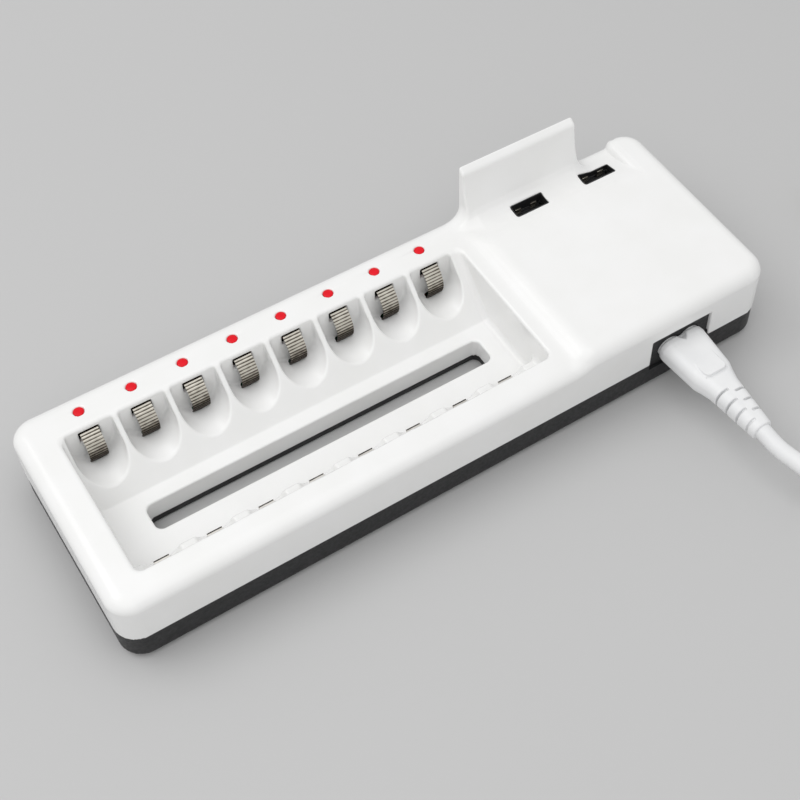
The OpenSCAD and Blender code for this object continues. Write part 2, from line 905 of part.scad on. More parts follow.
// Stepped strip: upright plate for the larger cell, ledge run, lower plate for the smaller cell
module positive_contact(i) {
    color(metal_c) {
        translate([bay_x[i] - plate_w / 2, 0, 0])
            along_x(plate_w)
                polygon([
                    [tray_y0, ledge_seat_z],
                    [ledge_y, ledge_seat_z],
                    [ledge_y, board_top],
                    [ledge_y + strip_t, board_top],
                    [ledge_y + strip_t, ledge_seat_z + strip_t],
                    [tray_y0 + strip_t, ledge_seat_z + strip_t],
                    [tray_y0 + strip_t, ledge_seat_z + plate_h],
                    [tray_y0, ledge_seat_z + plate_h]
                ]);
        translate([bay_x[i], tray_y0, cradle_z])
            rotate([-90, 0, 0])
                cylinder(r = stud_r, h = 2 * strip_t);
    }
}

// Round lamp on two long leads
module lamp(i) {
    color(red_c)
    translate([bay_x[i], lamp_y, 0]) {
        translate([0, 0, lamp_bottom])
            rotate_extrude()
                half_arch(lamp_d / 2, lamp_h + lamp_proud, lamp_edge_r);
        for (s = [-1, 1])
            translate([s * lead_x - lead_t / 2, -lead_t / 2, board_top])
                cube([lead_t, lead_t, lamp_bottom + bite - board_top]);
    }
}

module socket_shell(i) {
    color(steel_c)
    translate([socket_x[i], socket_y, socket_board_top])
        difference() {
            linear_extrude(shell_top - socket_board_top)
                plan(shell_w, shell_d, socket_corner_r);
            translate([0, 0, shell_t])
                linear_extrude(far)
                    plan(shell_w - 2 * shell_t, shell_d - 2 * shell_t, socket_corner_r - shell_t);
        }
}

module socket_tongue(i) {
    foot_d = shell_d - 2 * shell_t - 2 * fit;
    color(black_c)
    translate([socket_x[i], socket_y, socket_board_top + shell_t]) {
        translate([-tongue_w / 2, -foot_d / 2, 0])
            cube([tongue_w, foot_d, tongue_foot_h]);
        translate([-tongue_w / 2, foot_d / 2 - tongue_t, 0])
            cube([tongue_w, tongue_t, shell_top - socket_board_top - shell_t - tongue_drop]);
    }
}

// Figure of eight, drawn across the connector's axis
module eight(r) {
    for (s = [-1, 1])
        translate([s * lobe_x, 0])
            circle(r);
    square([2 * lobe_x, waist * r], center = true);
}

module ac_inlet() {
    y1 = inlet_y0 + inlet_l;
    color(dark_c)
    difference() {
        union() {
            span(
                [inlet_x - inlet_half, inlet_y0, inlet_low],
                [inlet_x + inlet_half, inlet_y0 + wall, inlet_top - fit]
            );
            span(
                [inlet_x - inlet_half, -body_w / 2 + wall + 2 * fit, board_top],
                [inlet_x + inlet_half, y1, inlet_top - fit]
            );
        }
        translate([inlet_x, inlet_y0 - bite, inlet_z])
            along_y(socket_depth + bite)
                eight(lobe_r);
        for (s = [-1, 1])
            translate([inlet_x + s * lobe_x, inlet_y0, inlet_z])
                rotate([-90, 0, 0])
                    cylinder(d = inlet_pin_d + 2 * pin_fit, h = far);
    }
}

module inlet_pins() {
    color(steel_c)
    for (s = [-1, 1])
        translate([inlet_x + s * lobe_x, inlet_y0 + pin_out, inlet_z])
            rotate([-90, 0, 0])
                cylinder(d = inlet_pin_d, h = inlet_l - pin_out + pin_tail);
}

// Transformer with its core standing round the winding
module transformer_core() {
    leg = (core_l - 2 * winding_r - 2 * winding_fit) / 2;
    color(black_c)
    translate([core_x, core_y, board_top]) {
        for (z = [0, core_h - core_yoke])
            translate([-core_l / 2, -core_d / 2, z])
                cube([core_l, core_d, core_yoke]);
        for (s = [-1, 1])
            translate([s * (core_l - leg) / 2 - leg / 2, -core_d / 2, 0])
                cube([leg, core_d, core_h]);
        cylinder(r = core_leg_r, h = core_h);
    }
}

module transformer_winding() {
    color(tape_c)
    translate([core_x, core_y, board_top + core_yoke + winding_fit])
        rotate_extrude()
            translate([core_leg_r + winding_fit, 0])
                square([winding_r - core_leg_r - winding_fit, winding_h]);
}

// Upright can with a rolled groove near its foot
module can(p, r, h) {
    translate([p[0], p[1], board_top])
        rotate_extrude()
            difference() {
                half_arch(r, h, can_groove);
                translate([r, groove_z])
                    circle(can_groove);
            }
}

module bulk_capacitor() {
    color(sleeve_c)
    can([bulk_x, bulk_y], bulk_r, bulk_h);
}

module output_capacitor() {
    color(sleeve_c)
    can([inlet_x, output_y], output_r, output_h);
}

module line_choke() {
    color(copper_c)
    translate([choke_x, choke_y, board_top + choke_t])
        rotate_extrude()
            translate([choke_r - choke_t, 0])
                circle(choke_t);
}

module rectifier() {
    color(black_c)
    translate([choke_x, rectifier_y, board_top])
        linear_extrude(rectifier_h)
            plan(rectifier_w, rectifier_w * rectifier_share, chip_edge);
}

module fuse() {
    color(ceramic_c)
    translate([inlet_x - fuse_l / 2, fuse_y, board_top + fuse_r])
        rotate([0, 90, 0])
            cylinder(r = fuse_r, h = fuse_l);
}

module controller_chip() {
    color(black_c)
    translate([block_x1 - chip_in, chip_y, board_top])
        linear_extrude(chip_h)
            plan(chip_w, chip_w * chip_share, chip_edge);
}

module case_screws() {
    color(steel_c)
    for (p = screw_places)
        translate([p[0], p[1], head_seat])
            rotate_extrude()
                difference() {
                    union() {
                        translate([0, -head_h])
                            square([screw_head_d / 2, head_h]);
                        square([screw_d / 2, screw_l]);
                    }
                    translate([0, -head_h])
                        square([recess_r, recess_d]);
                }
}

module foot(i) {
    color(black_c)
    translate([foot_places[i][0], foot_places[i][1], foot_t])
        mirror([0, 0, 1])
            rotate_extrude()
                half_arch(foot_r, foot_t, foot_edge_r);
}

// Oval slice across the connector's axis
module oval(w, h) {
    plan(w, h, oval_share * h);
}

module cord_connector() {
    rib_gap = relief_l / relief_ribs;
    relief_w1 = cord_d + 2 * relief_skin;
    relief_h0 = conn_h - 1;
    color(white_c) {
        difference() {
            union() {
                translate([inlet_x, conn_y0 - bite, inlet_z])
                    along_y(inlet_y0 + nose_l - conn_y0)
                        eight(lobe_r - nose_fit);
                hull($fn = 32)
                    for (s = conn_sections)
                        translate([inlet_x, conn_y0 - s[0], inlet_z])
                            along_y(slice_t)
                                oval(conn_w + s[1], conn_h + s[2]);
            }
            for (s = [-1, 1])
                translate([inlet_x + s * lobe_x, inlet_y0 + nose_l + bite, inlet_z])
                    rotate([90, 0, 0])
                        cylinder(d = inlet_pin_d + 2 * bite, h = nose_l - 1);
        }
        translate([inlet_x, relief_y1, inlet_z])
            rotate([-90, 0, 0])
                cylinder(d = cord_d + relief_skin, h = relief_l + bite);
        for (k = [0 : relief_ribs - 1])
            translate([inlet_x, conn_y1 - (k + 1) * rib_gap, inlet_z])
                along_y(rib_share * rib_gap)
                    oval(
                        relief_w0 + (relief_w1 - relief_w0) * k / (relief_ribs - 1),
                        relief_h0 + (relief_w1 - relief_h0) * k / (relief_ribs - 1)
                    );
    }
}

// Unit direction at point i of a route
function ahead(r, i) =
    let (a = r[max(i - 1, 0)], b = r[min(i + 1, len(r) - 1)])
    (b - a) / norm(b - a);

// Ring of points across a route at point i
function ring(r, i, d) =
    let (
        t = ahead(r, i),
        side = cross(t, [0, 0, 1]) / norm(cross(t, [0, 0, 1])),
        up = cross(side, t)
    )
    [for (k = [0 : cord_sides - 1])
        let (a = 360 * k / cord_sides)
        r[i] + d / 2 * (cos(a) * side + sin(a) * up)];

// Round tube swept along a route
module tube(r, d) {
    n = len(r);
    m = cord_sides;
    points = [for (i = [0 : n - 1]) each ring(r, i, d)];
    sides = [
        for (i = [0 : n - 2], k = [0 : m - 1])
            [i * m + k, (i + 1) * m + k, (i + 1) * m + (k + 1) % m, i * m + (k + 1) % m]
    ];
    first = [for (k = [0 : m - 1]) k];
    last = [for (k = [m - 1 : -1 : 0]) (n - 1) * m + k];
    polyhedron(points, concat([first], sides, [last]));
}

module cord_lead() {
    color(white_c)
    tube(lead_route, cord_d);
}

module cord_tail() {
    color(white_c)
    tube(tail_route, cord_d);
}

// Bundle of five strands: three below, two above
module cord_coil() {
    color(white_c)
    translate([coil_c[0], coil_c[1], coil_z])
        rotate_extrude($fn = 96)
            translate([coil_r, 0]) {
                for (k = [-1 : 1])
                    translate([k * cord_d, 0])
                        circle(cord_d / 2);
                for (k = [-0.5, 0.5])
                    translate([k * cord_d, coil_up])
                        circle(cord_d / 2);
                polygon([
                    [-cord_d, -cord_d / 2], [cord_d, -cord_d / 2],
                    [cord_d / 2, coil_up + cord_d / 2], [-cord_d / 2, coil_up + cord_d / 2]
                ]);
            }
}

module cord_tie() {
    half = coil_half_w + tie_side;
    tall = coil_h + 2 * tie_gap;
    color(white_c)
    translate([coil_c[0] - tie_w / 2, coil_c[1] + coil_r, coil_lift + coil_h / 2])
        along_x(tie_w)
            difference() {
                plan(2 * (half + tie_t), tall + 2 * tie_t, tie_r + tie_t);
                plan(2 * half, tall, tie_r);
            }
}

// Part of the plug drawn over a list of sections
module plug_part(sections) {
    hull($fn = 32)
        for (s = sections)
            translate([plug_x, plug_y + s[0] * plug_l, plug_t / 2])
                along_y(slice_t)
                    plan(s[1] * plug_w, s[2] * plug_t, plug_edge * s[2] * plug_t);
}

// Flat two-pin plug lying on its side
module mains_plug() {
    color(white_c)
    difference() {
        union() {
            plug_part(plug_head);
            plug_part(plug_neck);
        }
        for (s = [-1, 1])
            translate([plug_x + s * plug_pin_pitch / 2, plug_y + plug_l - plug_pin_in, plug_t / 2])
                rotate([-90, 0, 0])
                    cylinder(d = plug_tail_d + 2 * pin_fit, h = far);
    }
}

module plug_pins() {
    color(brass_c)
    for (s = [-1, 1])
        translate([plug_x + s * plug_pin_pitch / 2, plug_y + plug_l, plug_t / 2])
            rotate([-90, 0, 0]) {
                translate([0, 0, -plug_pin_in])
                    cylinder(d = plug_tail_d, h = plug_pin_in + bite);
                cylinder(d = plug_pin_d, h = plug_pin_l - plug_pin_d / 2);
                translate([0, 0, plug_pin_l - plug_pin_d / 2])
                    sphere(d = plug_pin_d);
            }
}

top_cover();
base();
main_board();
socket_board();
spring_contact(0);  // spring_contact_1
spring_contact(1);  // spring_contact_2
spring_contact(2);  // spring_contact_3
spring_contact(3);  // spring_contact_4
spring_contact(4);  // spring_contact_5
spring_contact(5);  // spring_contact_6
spring_contact(6);  // spring_contact_7
spring_contact(7);  // spring_contact_8
positive_contact(0);  // positive_contact_1
positive_contact(1);  // positive_contact_2
positive_contact(2);  // positive_contact_3
positive_contact(3);  // positive_contact_4
positive_contact(4);  // positive_contact_5
positive_contact(5);  // positive_contact_6
positive_contact(6);  // positive_contact_7
positive_contact(7);  // positive_contact_8
lamp(0);  // lamp_1
lamp(1);  // lamp_2
lamp(2);  // lamp_3
lamp(3);  // lamp_4
lamp(4);  // lamp_5
lamp(5);  // lamp_6
lamp(6);  // lamp_7
lamp(7);  // lamp_8
socket_shell(0);  // socket_shell_1
socket_shell(1);  // socket_shell_2
socket_tongue(0);  // socket_tongue_1
socket_tongue(1);  // socket_tongue_2
ac_inlet();
inlet_pins();
transformer_core();
transformer_winding();
bulk_capacitor();
output_capacitor();
line_choke();
rectifier();
fuse();
controller_chip();
case_screws();
foot(0);  // foot_1
foot(1);  // foot_2
foot(2);  // foot_3
foot(3);  // foot_4
cord_connector();
cord_lead();
cord_coil();
cord_tail();
cord_tie();
mains_plug();
plug_pins();
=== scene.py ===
# %% [markdown]
# # A desk charger for round cells
# The object is a white gloss charger with a tray of sprung bays, a raised block with sockets,
# an upright phone rest, a dark base and a plugged-in mains cord. The solids come from the packed
# model, which is the fixed frame. This lesson gives each of them a finish, and rebuilds the
# pieces whose real surface is softer or finer than a plain solid.

# %% Load the frame
import json
import math
from functools import partial

import bmesh
import bpy
import numpy as np
from mathutils import Matrix, Vector


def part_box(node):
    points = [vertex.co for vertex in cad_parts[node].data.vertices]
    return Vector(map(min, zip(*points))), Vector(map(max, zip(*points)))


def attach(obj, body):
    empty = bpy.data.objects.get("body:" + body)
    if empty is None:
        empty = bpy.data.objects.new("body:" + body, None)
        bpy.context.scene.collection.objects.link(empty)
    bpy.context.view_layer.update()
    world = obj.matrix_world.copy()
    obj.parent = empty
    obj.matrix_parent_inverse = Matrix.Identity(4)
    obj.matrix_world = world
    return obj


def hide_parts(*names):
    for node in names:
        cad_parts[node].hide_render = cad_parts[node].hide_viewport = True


MM = 0.001
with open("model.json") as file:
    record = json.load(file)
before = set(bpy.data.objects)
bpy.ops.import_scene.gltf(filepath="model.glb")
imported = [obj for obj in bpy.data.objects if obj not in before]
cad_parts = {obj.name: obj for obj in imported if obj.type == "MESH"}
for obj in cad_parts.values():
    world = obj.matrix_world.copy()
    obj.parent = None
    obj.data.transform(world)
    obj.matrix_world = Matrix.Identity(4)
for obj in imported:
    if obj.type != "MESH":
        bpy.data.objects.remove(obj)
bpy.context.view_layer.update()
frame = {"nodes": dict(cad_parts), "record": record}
nodes = frame["nodes"]
scene = bpy.context.scene


def new_object(name, data):
    obj = bpy.data.objects.new(name, data)
    scene.collection.objects.link(obj)
    return obj


# %% [markdown]
# ## Camera
# The picture was taken from above the front left corner with a fairly long lens. The camera's
# place was worked out from the straight edges of the housing. The lens shift only moves the
# frame, as if a larger picture had been trimmed.

# %% Camera
IMAGE = 800
FOCAL_PX = 1473.36
CENTRE_PX = (505.68, 381.77)
SENSOR_MM = 36
camera_place = Vector((-143.54, -253.98, 399.46)) * MM
view_right = Vector((0.8296, -0.5578, 0.0257)).normalized()
view_ahead = Vector((0.3513, 0.4855, -0.8005)).normalized()
view_up = view_right.cross(view_ahead).normalized()
camera_data = bpy.data.cameras.new("camera")
camera_data.sensor_width = SENSOR_MM
camera_data.lens = FOCAL_PX * SENSOR_MM / IMAGE
camera_data.shift_x = (IMAGE / 2 - CENTRE_PX[0]) / IMAGE
camera_data.shift_y = (CENTRE_PX[1] - IMAGE / 2) / IMAGE
camera_data.clip_start = 0.01
camera = new_object("camera", camera_data)
turn = Matrix((view_right, view_up, -view_ahead)).transposed().to_4x4()
camera.matrix_world = Matrix.Translation(camera_place) @ turn
scene.camera = camera
print("lens", round(camera_data.lens, 2), "mm")

# %% [markdown]
# ## Floor and light
# A pale grey floor fills the whole frame. A large soft lamp and an even sky light the white plastic
# without burning it out, so that a colour comes out about as it is written. A smaller lamp behind
# gives the rounded edges a glint.

# %% Floor and light
FLOOR_HALF, SKY_STRENGTH, LAMP_AIM = 4.0, 0.68, Vector((0, 0, 0.02))
scene.view_settings.view_transform = "Standard"


def area_lamp(name, place, size, power):
    data = bpy.data.lights.new(name, "AREA")
    data.shape = "RECTANGLE"
    data.size, data.size_y = size
    data.energy = power
    lamp = new_object(name, data)
    lamp.location = place
    lamp.rotation_mode = "QUATERNION"
    lamp.rotation_quaternion = (LAMP_AIM - Vector(place)).to_track_quat("-Z", "Y")


world = bpy.data.worlds.new("studio")
scene.world = world
world.use_nodes = True
sky = world.node_tree.nodes["Background"]
sky.inputs["Color"].default_value = (1.0, 1.0, 1.0, 1)
sky.inputs["Strength"].default_value = SKY_STRENGTH
area_lamp("key", place=(-0.3, -0.1, 0.95), size=(1.5, 1.3), power=4.6)
area_lamp("glint", place=(-0.45, 0.4, 0.8), size=(0.5, 0.4), power=0.9)

floor_signs = ((-1, -1), (1, -1), (1, 1), (-1, 1))
floor_mesh = bpy.data.meshes.new("floor")
floor_corners = [(FLOOR_HALF * x, FLOOR_HALF * y, 0) for x, y in floor_signs]
floor_mesh.from_pydata(floor_corners, [], [(0, 1, 2, 3)])
floor = new_object("floor", floor_mesh)
print("lamps and floor made")

# %% [markdown]
# ## Nodes
# A finish is a small tree of nodes, and so is a tree that builds geometry. One helper adds a node
# and fills its inputs, so that a line below reads as one step. All patterns use Object coordinates
# in metres, so a scale of 1000 means one cell a millimetre.


# %% Node helpers
def wire(tree, kind, values=None, **settings):
    """Add a node, set its options and fill its inputs with numbers, sockets or other nodes."""
    node = tree.nodes.new(kind if kind.startswith("Shader") else "GeometryNode" + kind)
    for key, value in settings.items():
        setattr(node, key, value)
    for key, value in (values or {}).items():
        if isinstance(value, bpy.types.Node):
            value = value.outputs[0]
        if isinstance(value, bpy.types.NodeSocket):
            tree.links.new(value, node.inputs[key])
        else:
            node.inputs[key].default_value = value
    return node


def math_node(tree, operation, first, second=0.0):
    return wire(tree, "ShaderNodeMath", {0: first, 1: second}, operation=operation)


def noise(tree, scale, detail=2.0, stretch=None, rough=0.5):
    place = wire(tree, "ShaderNodeTexCoord").outputs["Object"]
    if stretch:
        place = wire(tree, "ShaderNodeMapping", {"Vector": place, "Scale": stretch})
    values = {"Vector": place, "Scale": scale, "Detail": detail, "Roughness": rough}
    return wire(tree, "ShaderNodeTexNoise", values).outputs["Fac"]


def object_axes(tree):
    place = wire(tree, "ShaderNodeTexCoord").outputs["Object"]
    return wire(tree, "ShaderNodeSeparateXYZ", {"Vector": place}).outputs


def stretch_range(tree, value, before, after):
    """Carry a value over from one range to another, held at its ends."""
    ends = zip(("From Min", "From Max", "To Min", "To Max"), (*before, *after))
    return wire(tree, "ShaderNodeMapRange", {"Value": value, **dict(ends)}).outputs["Result"]


print("node helpers ready")

# %% [markdown]
# ## Finishes
# Every finish stands on the plain surface shader. Moulded plastic is never perfectly even: the
# gloss wanders a little, and a very low, wide bump stands for the ripple of the mould. Metal gets
# a tarnish that gathers in patches. Painted pictures could hold all this, but noise needs no
# picture and no unwrapping.

# %% Finish helpers
NOISE_SPAN = (0.3, 0.7)


def vary_colour(tree, field, stops):
    ramp = wire(tree, "ShaderNodeValToRGB", {"Fac": field})
    marks = ramp.color_ramp.elements
    for mark, (place, colour) in ((marks[0], stops[0]), (marks[1], stops[-1])):
        mark.position, mark.color = place, (*colour, 1)
    for place, colour in stops[1:-1]:
        marks.new(place).color = (*colour, 1)
    tree.links.new(ramp.outputs["Color"], tree.nodes["Principled BSDF"].inputs["Base Color"])


def new_finish(name, colour, roughness, tint=None, gloss=None, bump=None, **sockets):
    """A finish on the plain shader. Tint, gloss and bump each end with the numbers of a noise."""
    material = bpy.data.materials.new(name)
    material.use_nodes = True
    tree = material.node_tree
    shader = tree.nodes["Principled BSDF"]
    values = {"Base_Color": (*colour, 1), "Roughness": roughness, "Metallic": 0.0, "IOR": 1.5}
    for socket, value in {**values, **sockets}.items():
        shader.inputs[socket.replace("_", " ")].default_value = value
    if tint:
        stops, *pattern = tint
        vary_colour(tree, noise(tree, *pattern), stops)
    if gloss:
        low, high, *pattern = gloss
        rough = stretch_range(tree, noise(tree, *pattern), NOISE_SPAN, (low, high))
        tree.links.new(rough, shader.inputs["Roughness"])
    if bump:
        height, *pattern = bump
        values = {"Strength": 1.0, "Distance": height * MM, "Height": noise(tree, *pattern)}
        ripple = wire(tree, "ShaderNodeBump", values)
        tree.links.new(ripple.outputs["Normal"], shader.inputs["Normal"])
    return material


print("finish helpers ready")

# %% [markdown]
# ## White and charcoal plastic
# The housing is white gloss plastic from a polished mould, with a faint warm grey drift. The base
# is charcoal plastic with a fine spark-eroded grain, which hides scratches. Both take colour,
# gloss and grain from noise, so one function makes them and only the numbers differ.

# %% Housing plastics
white_gloss = new_finish(
    "white_gloss_plastic", (0.9, 0.9, 0.89), 0.2, IOR=1.52,
    tint=([(0.35, (0.885, 0.885, 0.875)), (0.65, (0.905, 0.905, 0.9))], 60),
    gloss=(0.16, 0.26, 140, 3), bump=(0.012, 420, 1),
)
charcoal = new_finish(
    "charcoal_plastic", (0.014, 0.014, 0.015), 0.45, Specular_IOR_Level=0.4,
    tint=([(0.3, (0.012, 0.012, 0.013)), (0.7, (0.019, 0.019, 0.02))], 300, 3),
    gloss=(0.38, 0.55, 900, 2), bump=(0.03, 2600, 2),
)
print("plastics", white_gloss.name, charcoal.name)

# %% [markdown]
# ## Plated metal
# The sprung strips are thin plated metal that has gone brown and grey. The ramp of colours makes
# them dark in the valleys of the ribs, and painted shade darkens them towards the foot, where the
# rim shades them. The front plates are brighter, with a painted dark line of shade along the bend
# at the ledge. Noise alone would put the dark anywhere, so the ramp also reads the ribs and the
# place on the piece.

# %% Plated metals
SHADED_Z, LIT_Z = 19.5 * MM, 23.5 * MM
PLATE_BEND, PLATE_LEDGE, BEND_SHADE_WIDTH = 4.4 * MM, 24.0 * MM, 0.15 * MM

strip_metal = new_finish(
    "plated_strip_metal", (0.5, 0.46, 0.4), 0.34, Metallic=1.0, gloss=(0.28, 0.48, 700, 3)
)
tree = strip_metal.node_tree
calc = partial(math_node, tree)
crest = wire(tree, "ShaderNodeAttribute", attribute_name="rib").outputs["Fac"]
# Painted shade: the strip's colour darkens towards its foot, where the rim shades it.
lit = stretch_range(tree, object_axes(tree)["Z"], (SHADED_Z, LIT_Z), (-0.56, -0.12))
mottle = calc("MULTIPLY", noise(tree, 520, 4), 0.4)
vary_colour(tree, calc("ADD", calc("ADD", mottle, lit), crest), [
    (0.3, (0.016, 0.012, 0.009)), (0.62, (0.06, 0.05, 0.038)),
    (0.85, (0.36, 0.33, 0.28)), (1.0, (0.68, 0.65, 0.58)),
])

plate_metal = new_finish(
    "plated_plate_metal", (0.72, 0.7, 0.66), 0.3, Metallic=1.0, gloss=(0.28, 0.48, 700, 3)
)
tree = plate_metal.node_tree
calc, axes = partial(math_node, tree), object_axes(tree)
# Painted shade: a thin dark line along the plate's bend at the ledge.
past_bend = calc("ADD", calc("ADD", axes["Y"], axes["Z"]), PLATE_BEND)
at_bend = calc("MINIMUM", past_bend, calc("ADD", axes["Y"], PLATE_LEDGE))
painted_bend_shade = stretch_range(tree, at_bend, (0.0, BEND_SHADE_WIDTH), (0.3, -0.6))
vary_colour(tree, calc("ADD", noise(tree, 260, 4), painted_bend_shade), [
    (0.0, (0.045, 0.04, 0.034)), (0.4, (0.3, 0.28, 0.25)),
    (0.6, (0.62, 0.6, 0.56)), (1.0, (0.78, 0.76, 0.72)),
])
print("metals", strip_metal.name, plate_metal.name)

# %% [markdown]
# ## Small and hidden parts
# Pins, lenses, cord and feet have a finish of their own, and so have the board and what stands on
# it, although the housing hides them. Every solid of the frame then gets the finish of its slot,
# in one loop, so that none is forgotten.

# %% Small and hidden parts
steel = new_finish(
    "bright_steel", (0.6, 0.61, 0.62), 0.28, Metallic=1.0, gloss=(0.2, 0.38, 500, 3, (1, 1, 8))
)
brass = new_finish(
    "plated_pin_metal", (0.72, 0.68, 0.58), 0.25, Metallic=1.0,
    gloss=(0.18, 0.36, 600, 3, (8, 1, 8)),
)
copper = new_finish(
    "copper_wire", (0.62, 0.26, 0.1), 0.3, Metallic=1.0, bump=(0.1, 900, 2, (1, 1, 5))
)
red_lens = new_finish(
    "red_lamp_lens", (0.76, 0.006, 0.014), 0.32, Specular_IOR_Level=0.2,
    tint=([(0.35, (0.74, 0.005, 0.014)), (0.65, (0.8, 0.008, 0.02))], 500, 1),
)
black_plastic = new_finish(
    "black_plastic", (0.014, 0.014, 0.015), 0.4, gloss=(0.32, 0.5, 800, 2), bump=(0.02, 2200, 2)
)
cord_white = new_finish(
    "soft_white_cord", (0.84, 0.845, 0.85), 0.38,
    tint=([(0.35, (0.82, 0.826, 0.832)), (0.65, (0.86, 0.864, 0.868))], 90),
    gloss=(0.32, 0.46, 600, 2), bump=(0.015, 1500, 2),
)
board_green = new_finish(
    "board_lacquer", (0.03, 0.17, 0.07), 0.35,
    tint=([(0.4, (0.02, 0.13, 0.05)), (0.6, (0.04, 0.2, 0.085))], 220, 5, None, 0.7),
)
rubber = new_finish("foot_rubber", (0.02, 0.02, 0.02), 0.75, bump=(0.05, 1800, 3))
ferrite = new_finish("dark_ferrite", (0.035, 0.035, 0.038), 0.6, bump=(0.04, 3000, 3))
tape = new_finish("yellow_tape", (0.78, 0.5, 0.05), 0.4, gloss=(0.3, 0.5, 300, 2, (1, 1, 6)))
sleeve = new_finish("capacitor_sleeve", (0.02, 0.03, 0.07), 0.3, gloss=(0.22, 0.4, 250))
ceramic = new_finish("fuse_ceramic", (0.58, 0.48, 0.33), 0.5, bump=(0.03, 1500, 2))

finish_of_slot = {
    "white_housing": white_gloss, "dark_base": charcoal, "inlet_plastic": charcoal,
    "circuit_board": board_green, "spring_metal": strip_metal, "plate_metal": plate_metal,
    "red_lens": red_lens, "bright_steel": steel, "black_plastic": black_plastic,
    "ferrite": ferrite, "winding_tape": tape, "capacitor_sleeve": sleeve, "copper_wire": copper,
    "fuse_body": ceramic, "foot_rubber": rubber, "plug_metal": brass, "cord_plastic": cord_white,
}
for row in frame["record"]["subparts"]:
    mesh = nodes[row["node"]].data
    mesh.materials.clear()
    mesh.materials.append(finish_of_slot[row["material_slot"]])
print("finishes", len(bpy.data.materials))

# %% [markdown]
# ## Floor colour
# The floor is a plain matt grey, which shows the object's soft shadow. It is coloured here, and
# not where it was made, because it uses the helpers for finishes.

# %% Floor colour
floor_grey = new_finish(
    "pale_floor", (0.55, 0.55, 0.55), 0.9,
    tint=([(0.3, (0.548, 0.548, 0.548)), (0.7, (0.556, 0.556, 0.556))], 3),
)
floor_mesh.materials.append(floor_grey)
print("floor coloured")

# %% [markdown]
# ## White cover: round edges by a field
# The cover is one injection moulding, and a moulding has no sharp edge: the rim, the tray and
# every rib run into each other over small radii that catch the light. Bevelling the solid would
# fail where many curved edges meet. Here the plastic is described by a field instead: a function
# that is negative inside the plastic and tells how far the surface is. Two fields meet with a
# round edge of any radius, and the skin is then taken off a fine grid.


# %% Field helpers
def meet(a, b, radius):
    """Where both fields are inside, with a round edge."""
    corner = np.hypot(np.maximum(a + radius, 0), np.maximum(b + radius, 0))
    return np.minimum(np.maximum(a, b), -radius) + corner


def join(a, b, radius):
    """Where either field is inside, with a round inner corner."""
    return -meet(-a, -b, radius)


def round_plan(x, y, half_l, half_w, radius):
    qx, qy = np.abs(x) - half_l + radius, np.abs(y) - half_w + radius
    outside = np.hypot(np.maximum(qx, 0), np.maximum(qy, 0))
    return outside + np.minimum(np.maximum(qx, qy), 0) - radius


def fillet(points, radii, steps=6):
    """Closed outline with each corner replaced by an arc of its own radius."""
    out = []
    for i, radius in enumerate(radii):
        a, p, b = (np.array(points[(i + k) % len(points)], float) for k in (-1, 0, 1))
        if radius == 0:
            out.append(p)
            continue
        u, v = (a - p) / np.linalg.norm(a - p), (b - p) / np.linalg.norm(b - p)
        half = math.acos(np.clip(u @ v, -1, 1)) / 2
        centre = p + (u + v) / np.linalg.norm(u + v) * radius / math.sin(half)
        first, last = (p + w * radius / math.tan(half) - centre for w in (u, v))
        start = math.atan2(first[1], first[0])
        sweep = (math.atan2(last[1], last[0]) - start + math.pi) % (2 * math.pi) - math.pi
        for k in range(steps + 1):
            angle = start + sweep * k / steps
            out.append(centre + radius * np.array([math.cos(angle), math.sin(angle)]))
    return np.array(out)


def outline_field(y, z, points):
    """Distance to a closed outline, negative inside."""
    best = np.full(np.broadcast(y, z).shape, 1e9)
    inside = np.zeros(best.shape, bool)
    for p, q in zip(points, np.roll(points, -1, 0)):
        dy, dz = q - p
        t = np.clip(((y - p[0]) * dy + (z - p[1]) * dz) / (dy * dy + dz * dz), 0, 1)
        best = np.minimum(best, np.hypot(y - p[0] - t * dy, z - p[1] - t * dz))
        if dz != 0:
            inside ^= ((z < p[1]) != (z < q[1])) & (y < p[0] + (z - p[1]) * dy / dz)
    return np.where(inside, -best, best)


print("field helpers ready")

# %% [markdown]
# ## White cover: roof and phone rest
# The roof is level over the tray, climbs a short ramp to the socket block, and slopes down again
# to the phone bed at the back. A phone leans on the rest, an upright lip with a hollow front. Each
# of these is a simple field, and the hollow at the foot of the rest comes from joining two of them
# with a wide radius.

# %% Roof and phone rest
HALF_L, HALF_W, CORNER_R = 119.0, 39.5, 8.0
RIM_H, BLOCK_H, PARTING_H, WALL = 30.0, 33.0, 12.0, 2.0
RAMP_X, RAMP_L = 38.3, 10.0
BED_Y, BED_RUN, BED_END, BED_STEP_R = 19.0, 13.0, 109.0, 3.0
BED_EDGE, ROOF_CORNER, EDGE_R, TRAY_END_MORE = 0.6, 0.4, 5.0, 0.5
REST_X, REST_HALF, REST_TOP, REST_T, REST_R = 68.5, 23.0, 51.5, 3.0, 45.0
REST_SLOPE, FLARE_R, FOOT_R = math.radians(35), 6.0, 6.0
LIP_EDGE, LIP_FRONT_EDGE, LIP_SUNK = 0.9, 0.7, 4.0
FADE_FROM, FADE_Y, FADE_X, FADED = 2.5, 4.0, 9.0, 0.01


